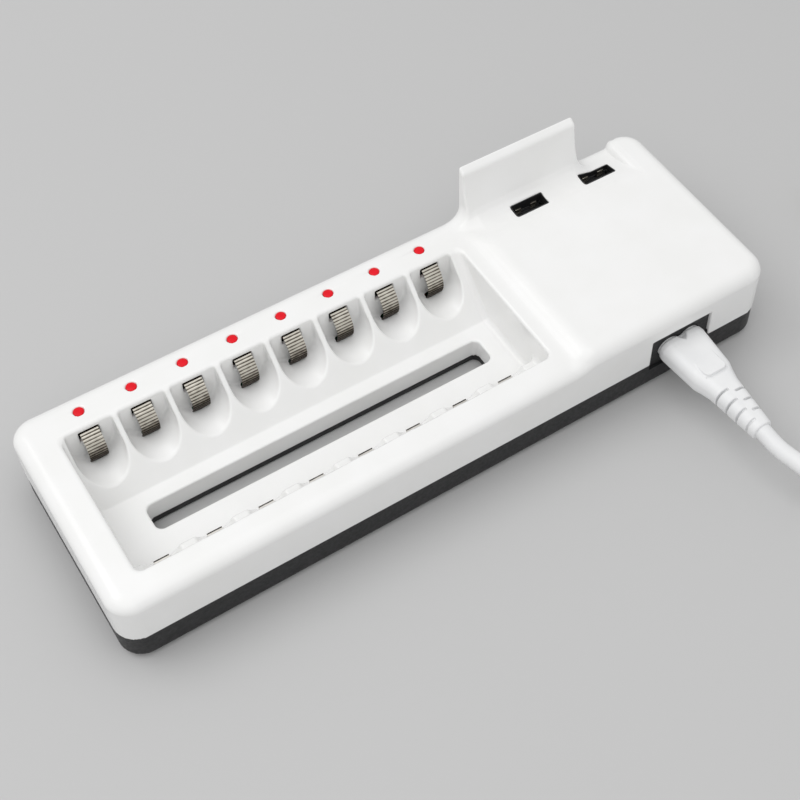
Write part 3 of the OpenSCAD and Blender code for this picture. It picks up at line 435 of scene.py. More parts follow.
def body_field(x, y, z):
    rise = BLOCK_H - RIM_H
    arc = (RAMP_L**2 / 4 + rise**2 / 4) / rise
    along = np.clip(x - RAMP_X, 0, RAMP_L)
    lower = along < RAMP_L / 2
    run = np.where(lower, along, RAMP_L - along)
    dip = arc - np.sqrt(arc**2 - run**2)
    roof = (z - np.where(lower, RIM_H + dip, BLOCK_H - dip)) * np.sqrt(1 - (run / arc) ** 2)
    above_bed = (BLOCK_H - (y - BED_Y) * rise / BED_RUN - z) * BED_RUN / math.hypot(BED_RUN, rise)
    bed_end = np.maximum(x - BED_END, BED_STEP_R - np.hypot(x - BED_END, z - RIM_H))
    roof = meet(roof, -np.maximum(above_bed, bed_end), BED_EDGE)
    roof = join(z - RIM_H + 0 * x, roof, ROOF_CORNER)
    edge = EDGE_R + TRAY_END_MORE * np.clip((RAMP_X + RAMP_L - x) / RAMP_L, 0, 1)
    return meet(roof, round_plan(x, y, HALF_L, HALF_W, CORNER_R) + 0 * z, edge)


def rest_field(x, y, z):
    top = (z - REST_TOP) * math.cos(REST_SLOPE) - (y - HALF_W) * math.sin(REST_SLOPE)
    front = REST_R - np.hypot(y - HALF_W + REST_T + REST_R, z - REST_TOP)
    lip = meet(meet(y - HALF_W + 0 * z, top, LIP_EDGE), front, LIP_FRONT_EDGE)
    off = np.abs(x - REST_X)
    over = np.clip(y - HALF_W + EDGE_R, 0, EDGE_R)
    foot = RIM_H - EDGE_R + np.sqrt(EDGE_R**2 - over**2) + FLARE_R
    past = off - REST_HALF - FLARE_R
    flare = np.maximum(FLARE_R - np.hypot(past, z - foot), past)
    lip = meet(lip, np.where(z < foot, flare, off - REST_HALF), LIP_EDGE)
    return np.maximum(lip, RIM_H - LIP_SUNK - z)


def body_with_rest(x, y, z):
    """Body and rest, with a hollow at the rest's foot that fades at the back and at both ends."""
    inward = np.clip((HALF_W - FADE_FROM - y) / FADE_Y, 0, 1)
    inward = inward * np.clip((REST_HALF + FLARE_R - np.abs(x - REST_X)) / FADE_X, 0, 1)
    at_foot = FOOT_R * np.maximum(inward, FADED)
    return join(body_field(x, y, z), rest_field(x, y, z), at_foot)


print("roof", RIM_H, "to", BLOCK_H, "mm, rest to", REST_TOP, "mm")

# %% [markdown]
# ## White cover: tray and bays
# The tray is one profile drawn from front to back: ledge, platform and a back that slopes up to
# the rim. Every bay adds a round seat on the ledge and a round-bottomed trough cut level into the
# slope. The trough ends in a crisp curve on the slope, and a thin fin is left standing between two
# troughs. The bays repeat, so one of them is enough: the distance across is counted from the
# nearest bay.

# %% Tray and bays
TRAY_MID, TRAY_HALF, TRAY_CORNER_R, OPEN_TOP = -35.25, 71.75, 2.2, 90
BAY_X0, PITCH, LAST_BAY = -97.6, 17.5, 7
TRAY_FRONT, LEDGE_Y, PLATFORM_Y, TRAY_BACK = -29.1, -20.7, 7.2, 25.2
SEAT_Z, RIDGE_Z, PLATFORM_Z, CRADLE_R, TROUGH_R = 16.0, 19.5, 11.0, 7.5, 7.85
SEAT_Y, SEAT_HALF, SEAT_EDGE = -24.8, 4.3, 0.5
TROUGH_SUNK, TROUGH_END_R, TROUGH_EDGE = 0.8, 0.9, 0.45
TROUGH_Z = SEAT_Z - TROUGH_SUNK + TROUGH_R
TRAY_PROFILE = [
    (TRAY_FRONT, OPEN_TOP), (TRAY_FRONT, RIDGE_Z), (LEDGE_Y, RIDGE_Z), (LEDGE_Y, PLATFORM_Z),
    (PLATFORM_Y, PLATFORM_Z), (TRAY_BACK, RIM_H), (TRAY_BACK, OPEN_TOP),
]
PROFILE_R = [0, 0.8, 0.8, 1.0, 0.8, 0.8, 0]


def across_bay(x):
    return x - BAY_X0 - PITCH * np.clip(np.round((x - BAY_X0) / PITCH), 0, LAST_BAY)


def tray_field(x, y, z):
    profile = outline_field(y, z, fillet(TRAY_PROFILE, PROFILE_R))
    tray = meet(profile, np.abs(x - TRAY_MID) - TRAY_HALF, TRAY_CORNER_R)
    across = across_bay(x)
    trough = np.hypot(across, np.minimum(z - TROUGH_Z, 0)) - TROUGH_R
    trough = meet(trough, np.maximum(y - TRAY_BACK, PLATFORM_Y - y), TROUGH_END_R)
    tray = join(tray, trough, TROUGH_EDGE)
    seat = np.hypot(across, z - SEAT_Z - CRADLE_R) - CRADLE_R
    return join(tray, np.maximum(seat, np.abs(y - SEAT_Y) - SEAT_HALF), SEAT_EDGE)


print("bays", LAST_BAY + 1, "at", PITCH, "mm")

# %% [markdown]
# ## White cover: openings
# Each sprung strip passes the back wall twice, through a window below its bow and one above it.
# Notches take the front contacts, and round holes take the lamps. A long slot runs through the
# platform, and the sockets and the inlet have a mouth each. Cutting the finished mesh would leave
# sharp rims, but a field that is taken away can round the rim as it cuts.

# %% Openings
WINDOW_Y, WINDOW_HALF, WINDOW_SPANS = 25.1, (3.35, 2.1), ((0, 15.5), (23.5, 28))
NOTCH = ((0, SEAT_Y, 17.85), (2.65, SEAT_HALF, 1.85))
SLIT = ((0, -20.375, 5.6), (2.65, 0.375, 5.6))
LAMP_Y, LAMP_HOLE_R, LAMP_HOLE_LOW, LAMP_EDGE = 31.5, 1.75, 23.85, 0.25
SOCKETS, SOCKET_MOUTH, SOCKET_LOW = ((67.1, 27.6), (95.5, 27.6)), (6.45, 2.6, 0.4), 24
INLET_RECESS, INLET_EDGE, FINE_EDGE = ((82.75, -46.1, 11.9), (12.25, 10, 11.9)), 0.4, 0.2
SLOT, SLOT_TOP, SLOT_EDGE = (-32.35, -3.0, 61.05, 5.0, 2.5), 12, 0.7


def box_field(x, y, z, middle, half):
    gaps = [np.abs(v - m) - h for v, m, h in zip((x, y, z), middle, half)]
    return np.maximum(np.maximum(gaps[0], gaps[1]), gaps[2])


def cut_openings(solid, x, y, z):
    across = across_bay(x)
    for low, high in WINDOW_SPANS:
        middle, half = (0, WINDOW_Y, (low + high) / 2), (*WINDOW_HALF, (high - low) / 2)
        solid = meet(solid, -box_field(across, y, z, middle, half), FINE_EDGE)
    notch = np.minimum(box_field(across, y, z, *NOTCH), box_field(across, y, z, *SLIT))
    solid = np.maximum(solid, -notch)
    hole = np.maximum(np.hypot(across, y - LAMP_Y) - LAMP_HOLE_R, LAMP_HOLE_LOW - z)
    solid = meet(solid, -hole, LAMP_EDGE)
    slot = round_plan(x - SLOT[0], y - SLOT[1], *SLOT[2:])
    solid = meet(solid, -np.maximum(slot, z - SLOT_TOP), SLOT_EDGE)
    for sx, sy in SOCKETS:
        mouth = round_plan(x - sx, y - sy, *SOCKET_MOUTH)
        solid = meet(solid, -np.maximum(mouth, SOCKET_LOW - z), FINE_EDGE)
    return meet(solid, -box_field(x, y, z, *INLET_RECESS), INLET_EDGE)


print("openings for", LAST_BAY + 1, "bays and", len(SOCKETS), "sockets")

# %% [markdown]
# ## White cover: inside
# A moulding is a shell of even thickness, because a thick place would sink in as it cools. In a
# field that takes one sum: the cavity is the outside moved in by one wall, and the tray, the wall
# round the slot and six screw pillars are kept out of it.

# %% Inside of the cover
TUB_T, TUB_TOP, TRAY_EDGE, SLOT_WALL_Z, SLOT_WALL_HALF = 1.8, 29.8, 1.3, 6.55, 3.55
BOSS_TOP, PILLAR_R, REBATE, REBATE_TOP = 7.6, 3.1, 1, 13.65
PILLARS = [(-112.7, -31), (-112.7, 31), (112.7, -31), (112.7, 31), (42.2, -33.7), (42.2, 33.7)]
SLOPE = math.atan2(RIM_H - PLATFORM_Z, TRAY_BACK - PLATFORM_Y)
UNDER_Y, UNDER_Z = PLATFORM_Y + TUB_T / math.sin(SLOPE), TROUGH_Z - TROUGH_R - TUB_T
TUB_FRONT, TUB_LEDGE, TUB_BACK = TRAY_FRONT - TUB_T, LEDGE_Y - TUB_T, TRAY_BACK + TUB_T
SEAT_UNDER, PLATFORM_UNDER = SEAT_Z - TUB_T, PLATFORM_Z - TUB_T
TUB_OUTLINE = np.array([
    (TUB_FRONT, TUB_TOP), (TUB_FRONT, SEAT_UNDER), (TUB_LEDGE, SEAT_UNDER),
    (TUB_LEDGE, PLATFORM_UNDER), (UNDER_Y - TUB_T / math.tan(SLOPE), PLATFORM_UNDER),
    (UNDER_Y + (UNDER_Z - PLATFORM_Z) / math.tan(SLOPE), UNDER_Z),
    (TUB_BACK, UNDER_Z), (TUB_BACK, TUB_TOP),
])


def cover_field(x, y, z):
    solid = meet(body_with_rest(x, y, z), -tray_field(x, y, z), TRAY_EDGE)
    solid = cut_openings(solid, x, y, z)
    tub = outline_field(y, z, TUB_OUTLINE)
    tub = np.maximum(tub, np.abs(x - TRAY_MID) - TRAY_HALF - TUB_T)
    wall = round_plan(x - SLOT[0], y - SLOT[1], *(s + TUB_T for s in SLOT[2:]))
    keep = np.minimum(tub, np.maximum(wall, np.abs(z - SLOT_WALL_Z) - SLOT_WALL_HALF))
    for px, py in PILLARS:
        pillar = np.maximum(np.hypot(x - px, y - py) - PILLAR_R, BOSS_TOP - z)
        keep = np.minimum(keep, pillar)
    rebate = round_plan(x, y, HALF_L - REBATE, HALF_W - REBATE, CORNER_R - REBATE)
    rebate = np.maximum(rebate, z - REBATE_TOP)
    cavity = np.maximum(np.minimum(body_field(x, y, z) + WALL, rebate), -keep)
    return np.maximum(np.maximum(solid, np.minimum(keep, PARTING_H - z)), -cavity)


print("inside with", len(PILLARS), "pillars")

# %% [markdown]
# ## White cover: taking the skin
# Every small cell of the grid that the surface passes through gets one point, the mean of where
# the surface crosses its edges, and four such cells round a crossed edge make a face. Blender's
# own remeshing starts from a mesh, and there is none yet. The field's own slope gives the normals,
# which keeps the gloss clean.


# %% Skin of a field
def skin_of(field, start, step):
    inside = field < 0
    cells = tuple(n - 1 for n in field.shape)
    corners = [(i, j, k) for i in (0, 1) for j in (0, 1) for k in (0, 1)]
    count = np.zeros(cells, np.uint8)
    for i, j, k in corners:
        count += inside[i : i + cells[0], j : j + cells[1], k : k + cells[2]]
    live = np.argwhere((count > 0) & (count < 8))
    number = np.full(cells, -1, np.int32)
    number[tuple(live.T)] = np.arange(len(live))
    value = {c: field[tuple((live + c).T)] for c in corners}
    total, slope = np.zeros((2, len(live), 3))
    hits = np.zeros(len(live))
    unit = np.eye(3, dtype=int)
    quads = []
    for axis in range(3):
        for c in (c for c in corners if not c[axis]):
            a, b = value[c], value[tuple(np.array(c) + unit[axis])]
            slope[:, axis] += b - a
            crossed = (a < 0) != (b < 0)
            share = np.where(crossed, a / np.where(a == b, 1, a - b), 0)
            total += crossed[:, None] * (np.array(c) + share[:, None] * unit[axis])
            hits += crossed
        first = [slice(1, -1)] * 3
        second = list(first)
        first[axis], second[axis] = slice(0, -1), slice(1, None)
        a, b = inside[tuple(first)], inside[tuple(second)]
        at = np.argwhere(a != b)
        turned = b[tuple(at.T)]
        at += 1 - unit[axis]
        u, w = unit[(axis + 1) % 3], unit[(axis + 2) % 3]
        ring = np.stack([number[tuple((at - off).T)] for off in (u + w, w, 0 * u, u)], 1)
        ring[turned] = ring[turned][:, ::-1]
        quads.append(ring)
    slope /= np.linalg.norm(slope, axis=1)[:, None] + 1e-12
    return (live + total / hits[:, None]) * step + start, np.concatenate(quads), slope


print("skin ready")

# %% [markdown]
# ## White cover: a light mesh
# Flat areas of a skin are merged, tile by tile, so that only the round edges keep small faces.
# Collapsing edges would thin out the round ones too. The normals go along as an attribute and are
# set again at the end.

# %% Mesh of a skin
FLAT_DEG, TILE, GRID_SHIFT = 0.4, 8.0, 0.13


def mesh_from_skin(name, points, quads, normals, tile=TILE):
    mesh = bpy.data.meshes.new(name)
    mesh.vertices.add(len(points))
    mesh.vertices.foreach_set("co", (points * MM).astype(np.float32).ravel())
    mesh.loops.add(quads.size)
    mesh.loops.foreach_set("vertex_index", quads.astype(np.int32).ravel())
    mesh.polygons.add(len(quads))
    mesh.polygons.foreach_set("loop_start", np.arange(0, quads.size, 4, dtype=np.int32))
    mesh.update(calc_edges=True)
    tiles = np.floor(points[quads].mean(1) / tile).sum(1) % 2
    mesh.polygons.foreach_set("material_index", tiles.astype(np.int32))
    kept = mesh.attributes.new("slope", "FLOAT_VECTOR", "POINT")
    kept.data.foreach_set("vector", normals.astype(np.float32).ravel())
    bm = bmesh.new()
    bm.from_mesh(mesh)
    bmesh.ops.dissolve_limit(
        bm, angle_limit=math.radians(FLAT_DEG), verts=bm.verts, edges=bm.edges, delimit={"MATERIAL"}
    )
    bm.to_mesh(mesh)
    bm.free()
    mesh.polygons.foreach_set("material_index", np.zeros(len(mesh.polygons), np.int32))
    mesh.polygons.foreach_set("use_smooth", np.ones(len(mesh.polygons), bool))
    slopes = np.empty(len(mesh.vertices) * 3, np.float32)
    mesh.attributes["slope"].data.foreach_get("vector", slopes)
    mesh.attributes.remove(mesh.attributes["slope"])
    mesh.normals_split_custom_set_from_vertices(slopes.reshape(-1, 3))
    return mesh


def skin_piece(name, field, low, high, step, finish, tile=TILE):
    """Skin of a field between two corners, given in millimetres."""
    axes = [np.arange(a + GRID_SHIFT * step, b, step) for a, b in zip(low, high)]
    grid = field(axes[0][:, None, None], axes[1][None, :, None], axes[2][None, None, :])
    skin = skin_of(grid.astype(np.float32), np.array([a[0] for a in axes]), step)
    piece = new_object(name, mesh_from_skin(name, *skin, tile))
    piece.data.materials.append(finish)
    print(name, len(piece.data.vertices), "points")
    return piece


print("mesh helpers ready")

# %% [markdown]
# ## White cover: the piece
# The grid is filled in slices along the length, because the whole of it at once would need a lot
# of memory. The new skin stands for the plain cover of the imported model.

# %% White cover
STEP, SLICES = 0.45, 12
GRID_LOW, GRID_HIGH = (-120.13, -40.63, 2.12), (120.3, 40.7, 52.9)
grid_x, grid_y, grid_z = (np.arange(a, b, STEP) for a, b in zip(GRID_LOW, GRID_HIGH))
rows, levels = grid_y[None, :, None], grid_z[None, None, :]
slices = [
    cover_field(part[:, None, None], rows, levels).astype(np.float32)
    for part in np.array_split(grid_x, SLICES)
]
grid = np.concatenate(slices)
skin = skin_of(grid, np.array(GRID_LOW), STEP)
del slices, grid
skin[0][:, 1] = np.clip(skin[0][:, 1], -HALF_W, HALF_W)
white_cover = new_object("white_cover", mesh_from_skin("white_cover", *skin))
white_cover.data.materials.append(white_gloss)
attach(white_cover, "housing")
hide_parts("top_cover")
print("cover", len(white_cover.data.vertices), "points,", len(white_cover.data.polygons), "faces")

# %% [markdown]
# ## Mains connector
# The connector of the cord is moulded on: a flat grip with a raised thumb panel, two lobes at the
# mouth and a strain relief. The relief bends because it is slotted from the left and from the
# right in turn, which leaves a soft spine. It is one more field: the grip is a rounded bar whose
# width and height are read from a short table, and the slots are taken out of it.

# %% Mains connector
INLET_X, INLET_Z, MOUTH_Y = 82.75, 16.0, -38.7
LOBE_X, LOBE_R, PIN_R, CORE_R = 4.3, 4.05, 1.25, 3.2
GRIP_AT = (0, 2, 17.2, 20.2, 23.7, 43.3)
GRIP_HALF_W = (8.5, 8.7, 7.5, 6.5, 5.6, 3.75)
GRIP_HALF_H = (4.3, 4.5, 4.4, 4.25, 4.1, 3.7)
GRIP_R, GRIP_EDGE = 3.5, 0.6
PANEL_FROM, PANEL_END, PANEL_HALF, PANEL_R = 9, 19.4, 4.3, 1.2
PANEL_RISE, PANEL_SUNK, PANEL_SWEEP, PANEL_EDGE, PANEL_CORNER = 1.0, 0.05, 0.5, 0.35, 0.15
GROOVE_HALF, GROOVE_SIDE, GROOVE_DEEP, GROOVE_EDGE = 0.35, 4.4, 0.45, 0.12
DIP_UP, DIP_R, DIP_RUN, DIP_SLOPE, DIP_EDGE = 4.8, 1.9, 0.5, 0.6, 0.3
LEFT_SLOTS, LEFT_SPINE = (26.3, 30.9, 35.4, 40.0), 0.9
RIGHT_SLOTS, RIGHT_SPINE = (28.1, 32.5, 36.9), 0.45
SLOT_HALF, RELIEF_EDGE = 0.4, 0.15
NOSE_ROOT, NOSE_TIP, NOSE_EDGE, BORE_FROM, LOBE_WAIST, LOBE_CORNER = 2, 14.2, 0.4, 1.4, 0.6, 0.2


def add_thumb_panel(grip, across, up, out, half_h):
    """A panel that climbs towards its swept end, and a groove below that end."""
    end = PANEL_END - PANEL_SWEEP * np.clip(np.abs(across) - 3, 0, 2)
    rise = PANEL_RISE * np.clip((out - PANEL_FROM) / (end - PANEL_FROM), 0, 1) ** 1.5 - PANEL_SUNK
    plan = round_plan(across, out - end / 2, PANEL_HALF, end / 2, PANEL_R)
    panel = meet(plan, up - half_h - rise, PANEL_EDGE)
    grip = join(grip, np.maximum(panel, -up), PANEL_CORNER)
    groove = np.abs(out - end - GROOVE_HALF) - GROOVE_HALF
    groove = np.maximum(groove, np.abs(across) - GROOVE_SIDE)
    return meet(grip, -np.maximum(groove, half_h - GROOVE_DEEP - up), GROOVE_EDGE)


def connector_field(x, y, z):
    across, up, out = x - INLET_X, z - INLET_Z, MOUTH_Y - y
    half_w = np.interp(out, GRIP_AT, GRIP_HALF_W)
    half_h = np.interp(out, GRIP_AT, GRIP_HALF_H)
    bar = round_plan(across, up, half_w, half_h, GRIP_R)
    grip = meet(bar, np.maximum(-out, out - GRIP_AT[-1]), GRIP_EDGE)
    grip = add_thumb_panel(grip, across, up, out, half_h)
    dip = np.hypot(across, np.abs(up) - DIP_UP) - DIP_R + DIP_SLOPE * np.maximum(out - DIP_RUN, 0)
    grip = meet(grip, -np.maximum(dip, -out - 1), DIP_EDGE)
    core = np.hypot(across, up) - CORE_R
    for row, side, spine in ((LEFT_SLOTS, -1, LEFT_SPINE), (RIGHT_SLOTS, 1, RIGHT_SPINE)):
        for place in row:
            slot = np.maximum(np.abs(out - place) - SLOT_HALF, spine - side * across)
            grip = meet(grip, -np.maximum(slot, -core), RELIEF_EDGE)
    lobes = np.hypot(np.abs(across) - LOBE_X, up) - LOBE_R
    waist = np.maximum(np.abs(across) - LOBE_X, np.abs(up) - LOBE_WAIST * LOBE_R)
    lobes = join(lobes, waist, LOBE_CORNER)
    nose = meet(lobes, np.maximum(out - NOSE_ROOT, -NOSE_TIP - out), NOSE_EDGE)
    bores = np.maximum(np.hypot(np.abs(across) - LOBE_X, up) - PIN_R, out + BORE_FROM)
    return np.maximum(join(grip, nose, LOBE_CORNER), -bores)


connector = skin_piece(
    "cord_connector_skin", connector_field, (72, -83, 9.5), (93.5, -23.5, 22.5),
    0.24, cord_white,
)
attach(connector, "housing")
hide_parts("cord_connector")

# %% [markdown]
# ## Trees of nodes for what repeats
# Two small Geometry Nodes trees do the repeated work. The first makes a pressed strip: it follows
# a path, pushes ribs out of it at an even pitch, widens it and gives it thickness. The second puts
# copies of a part on points. Both end in plain geometry with a material.


# %% Node tree helpers
def new_tree(name, inputs):
    tree = bpy.data.node_groups.new(name, "GeometryNodeTree")
    tree.interface.new_socket("Geometry", in_out="INPUT", socket_type="NodeSocketGeometry")
    for label, kind in inputs:
        tree.interface.new_socket(label, in_out="INPUT", socket_type="NodeSocket" + kind)
    tree.interface.new_socket("Geometry", in_out="OUTPUT", socket_type="NodeSocketGeometry")
    return tree, tree.nodes.new("NodeGroupInput").outputs, tree.nodes.new("NodeGroupOutput").inputs


def run_tree(tree, points, edges, **inputs):
    """Evaluate a tree on a small mesh and give back a plain mesh."""
    start = bpy.data.meshes.new(tree.name + "_start")
    start.from_pydata(points, edges, [])
    holder = new_object(tree.name + "_holder", start)
    modifier = holder.modifiers.new("tree", "NODES")
    modifier.node_group = tree
    for item in tree.interface.items_tree:
        if item.in_out == "INPUT" and item.name in inputs:
            modifier[item.identifier] = inputs[item.name]
    graph = bpy.context.evaluated_depsgraph_get()
    made = bpy.data.meshes.new_from_object(holder.evaluated_get(graph), depsgraph=graph)
    bpy.data.objects.remove(holder)
    bpy.data.meshes.remove(start)
    return made


print("tree helpers ready")

# %% [markdown]
# ## Pressed strip tree
# Ribs are pressed into thin sheet, so front and back move together and the thickness stays. The
# height of the ribs along the strip is kept as an attribute named rib, which the metal's finish
# reads: the colour is dark in the valleys and bright on the crests.

# %% Pressed strip tree
strip_tree, given, result = new_tree("Pressed strip", [
    ("Width", "Float"), ("Thickness", "Float"), ("Pitch", "Float"), ("Rib Height", "Float"),
    ("Rib Start", "Float"), ("Rib End", "Float"), ("Material", "Material"),
])
FINE_STEP, WELD = 0.1 * MM, 0.005 * MM
node, calc = partial(wire, strip_tree), partial(math_node, strip_tree)
path = node("MeshToCurve", {"Mesh": given["Geometry"]})
path = node("ResampleCurve", {"Curve": path, "Length": FINE_STEP}, mode="LENGTH")
length = node("SplineParameter").outputs["Length"]
turns = calc("DIVIDE", length, given["Pitch"])
wave = calc("ABSOLUTE", calc("SINE", calc("MULTIPLY", turns, math.pi)))
after = calc("GREATER_THAN", length, given["Rib Start"])
before = calc("LESS_THAN", length, given["Rib End"])
rib = calc("MULTIPLY", wave, calc("MULTIPLY", after, before))
height = calc("MULTIPLY", rib, given["Rib Height"])
along = node("InputTangent")
facing = node("ShaderNodeVectorMath", {0: (1, 0, 0), 1: along}, operation="CROSS_PRODUCT")
push = node("ShaderNodeVectorMath", {0: facing, "Scale": height}, operation="SCALE")
ribbed = node("StoreNamedAttribute", {"Geometry": path, "Name": "rib", "Value": rib})
ribbed = node("SetPosition", {"Geometry": ribbed, "Offset": push})
line = node("CurveToMesh", {"Curve": ribbed})
across = node("ShaderNodeCombineXYZ", {"X": given["Width"]})
sheet = node("ExtrudeMesh", {"Mesh": line, "Offset": across}, mode="EDGES")
front = {"Mesh": sheet, "Offset Scale": given["Thickness"], "Individual": False}
front = node("ExtrudeMesh", front, mode="FACES")
back = node("FlipFaces", {"Mesh": sheet})
whole = node("JoinGeometry")
for side in (front, back):
    strip_tree.links.new(side.outputs[0], whole.inputs[0])
whole = node("MergeByDistance", {"Geometry": whole, "Distance": WELD})
whole = node("RealizeInstances", {"Geometry": whole})
whole = node("SetMaterial", {"Geometry": whole, "Material": given["Material"]})
strip_tree.links.new(whole.outputs[0], result["Geometry"])
print("pressed strip tree", len(strip_tree.nodes), "nodes")

# %% [markdown]
# ## Copies tree
# A part that repeats, such as a lamp, its leg, a screw or a pad of a socket, is made once and put
# on points. The copies become real faces at once, because a plain mesh is handed on.

# %% Copies tree
copies_tree, given, result = new_tree("Copies on points", [
    ("Part", "Object"), ("Material", "Material"),
])
node = partial(wire, copies_tree)
part = node("ObjectInfo", {"Object": given["Part"]}, transform_space="ORIGINAL").outputs["Geometry"]
copies = node("InstanceOnPoints", {"Points": given["Geometry"], "Instance": part})
copies = node("RealizeInstances", {"Geometry": copies})
copies = node("SetMaterial", {"Geometry": copies, "Material": given["Material"]})
copies_tree.links.new(copies.outputs[0], result["Geometry"])


def copies_of(name, part_mesh, places, finish):
    """One plain object with a copy of a part at every place, in millimetres."""
    sample = new_object(name + "_part", part_mesh)
    points = [tuple(v * MM for v in place) for place in places]
    made = run_tree(copies_tree, points, [], Part=sample, Material=finish)
    bpy.data.objects.remove(sample)
    made.name = name
    piece = new_object(name, made)
    print(name, len(places), "copies,", len(made.polygons), "faces")
    return piece


def shaded(bm, mesh, degrees):
    """Write a mesh with smooth faces, and with sharp edges where it turns more than an angle."""
    bmesh.ops.recalc_face_normals(bm, faces=bm.faces)
    for face in bm.faces:
        face.smooth = True
    for edge in bm.edges:
        edge.smooth = len(edge.link_faces) == 2 and edge.calc_face_angle() < math.radians(degrees)
    bm.to_mesh(mesh)
    bm.free()
    return mesh


STRIP_SHARP, SHARP = 40, 35
print("copies tree", len(copies_tree.nodes), "nodes")

# %% [markdown]
# ## Sprung contacts
# Each negative contact is a bowed strip of thin plated metal, pressed with cross ribs so that it
# grips the end of a cell. It stands on a rolled foot and tips back when a cell goes in. The path
# runs from the roll up the bow, and every contact rides on its own moving body.

# %% Sprung contacts
BOW_Y, BOW_Z, BOW_R, BOW_FROM, BOW_TO = 28.9, 20.5, 7.38, -54, 67
FOOT_Y, FOOT_Z, ROLL_R, ROLL_FROM, ROLL_TO = 25.2, 7.3, 0.8, 430, 180
STRIP_W, STRIP_T, RIB_PITCH, RIB_H, BARE_FOOT, BARE_TOP = 6.0, 0.3, 1.0, 0.24, 0.4, 0.8
RISE = [
    (24.5, 7.9), (24.7, 8.5), (24.86, 9.3), (24.92, 10.4), (24.92, 11.8), (24.88, 13.0),
    (24.79, 13.9),
]
roll_angles = np.radians(np.linspace(ROLL_FROM, ROLL_TO, 26))
roll = [(FOOT_Y + ROLL_R * math.cos(a), FOOT_Z + ROLL_R * math.sin(a)) for a in roll_angles]
bow_angles = np.radians(np.linspace(BOW_FROM, BOW_TO, 60))
bow = [(BOW_Y - BOW_R * math.cos(a), BOW_Z + BOW_R * math.sin(a)) for a in bow_angles]
foot = roll + RISE
foot_run = sum(math.dist(p, q) for p, q in zip(foot, foot[1:] + bow[:1]))
bow_run = BOW_R * math.radians(BOW_TO - BOW_FROM)
side_path = foot + bow
chain = [(k, k + 1) for k in range(len(side_path) - 1)]
strip_inputs = {
    "Width": STRIP_W * MM, "Thickness": STRIP_T * MM, "Material": strip_metal,
    "Pitch": RIB_PITCH * MM, "Rib Height": RIB_H * MM,
    "Rib Start": (foot_run + BARE_FOOT) * MM, "Rib End": (foot_run + bow_run - BARE_TOP) * MM,
}
for number in range(LAST_BAY + 1):
    left = BAY_X0 + PITCH * number - STRIP_W / 2
    points = [(left * MM, y * MM, z * MM) for y, z in side_path]
    made = run_tree(strip_tree, points, chain, **strip_inputs)
    bm = bmesh.new()
    bm.from_mesh(made)
    shaded(bm, made, STRIP_SHARP)
    contact = new_object(f"ribbed_contact_{number + 1}", made)
    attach(contact, f"contact_{number + 1}")
    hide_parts(f"spring_contact_{number + 1}")
front, low = (round(min(v.co[k] for v in made.vertices) / MM, 2) for k in (1, 2))
print("contacts", LAST_BAY + 1, "faces", len(made.polygons), "front y", front, "low z", low)

# %% [markdown]
# ## Lamps
# A charging lamp is a small red resin body that fills its hole and stands hardly proud of the rim.
# It is turned from a half outline and copied to every bay. Two tinned legs reach the board.


# %% Lamps
def turned(name, outline, steps=40):
    """Solid of revolution from a half outline of radius and height, in millimetres."""
    bm = bmesh.new()
    rings = []
    for radius, height in outline:
        count = 1 if radius == 0 else steps
        angles = [2 * math.pi * k / steps for k in range(count)]
        ring = [(radius * math.cos(a), radius * math.sin(a), height) for a in angles]
        rings.append([bm.verts.new([c * MM for c in point]) for point in ring])
    for low, high in zip(rings, rings[1:]):
        for k in range(steps):
            ends = ((low, k), (low, k + 1), (high, k + 1), (high, k))
            corners = [ring[n % len(ring)] for ring, n in ends]
            bm.faces.new(list(dict.fromkeys(corners)))
    return shaded(bm, bpy.data.meshes.new(name), SHARP)


LAMP_LOW, LEG_R, LEG_X, LEG_IN = 24.0, 0.25, 1.27, 0.05
lamp_outline = [
    (0, LAMP_LOW), (1.45, LAMP_LOW), (1.6, LAMP_LOW + 0.15), (1.6, 28.8), (1.7, 29.0), (1.7, 29.85),
    (1.66, 29.98), (1.55, 30.07), (1.1, 30.15), (0.6, 30.2), (0, 30.22),
]
bay_places = [BAY_X0 + PITCH * k for k in range(LAST_BAY + 1)]
lamp_places = [(x, LAMP_Y, 0) for x in bay_places]
lamps = copies_of("lamps", turned("lamp", lamp_outline), lamp_places, red_lens)
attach(lamps, "housing")
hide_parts(*(f"lamp_{k + 1}" for k in range(LAST_BAY + 1)))
leg_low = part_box("lamp_1")[0][2] / MM
leg_top = LAMP_LOW + LEG_IN
leg_outline = [(0, leg_low), (LEG_R, leg_low), (LEG_R, leg_top), (0, leg_top)]
leg_places = [(x + side * LEG_X, LAMP_Y, 0) for x in bay_places for side in (-1, 1)]
legs = copies_of("lamp_legs", turned("lamp_leg", leg_outline, 10), leg_places, steel)
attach(legs, "housing")

# %% [markdown]
# ## Case screws
# Six pan-head screws with a cross recess hold the base to the cover. The thread is part of the
# screw's field: its radius swells once a turn as the height goes up. One screw is made, and the
# tree copies it.

# %% Case screws
HEAD_Z0, HEAD_Z1, HEAD_R, HEAD_EDGE, NECK = 3.8, 5.6, 2.4, 0.55, 0.3
SHANK_R, SHANK_TOP, THREAD, THREAD_H = 1.02, 15.6, 0.9, 0.16
RECESS_DEEP, RECESS_EDGE, ARM, REACH = 1.1, 0.08, (0.42, 0.14), (1.45, 0.7)


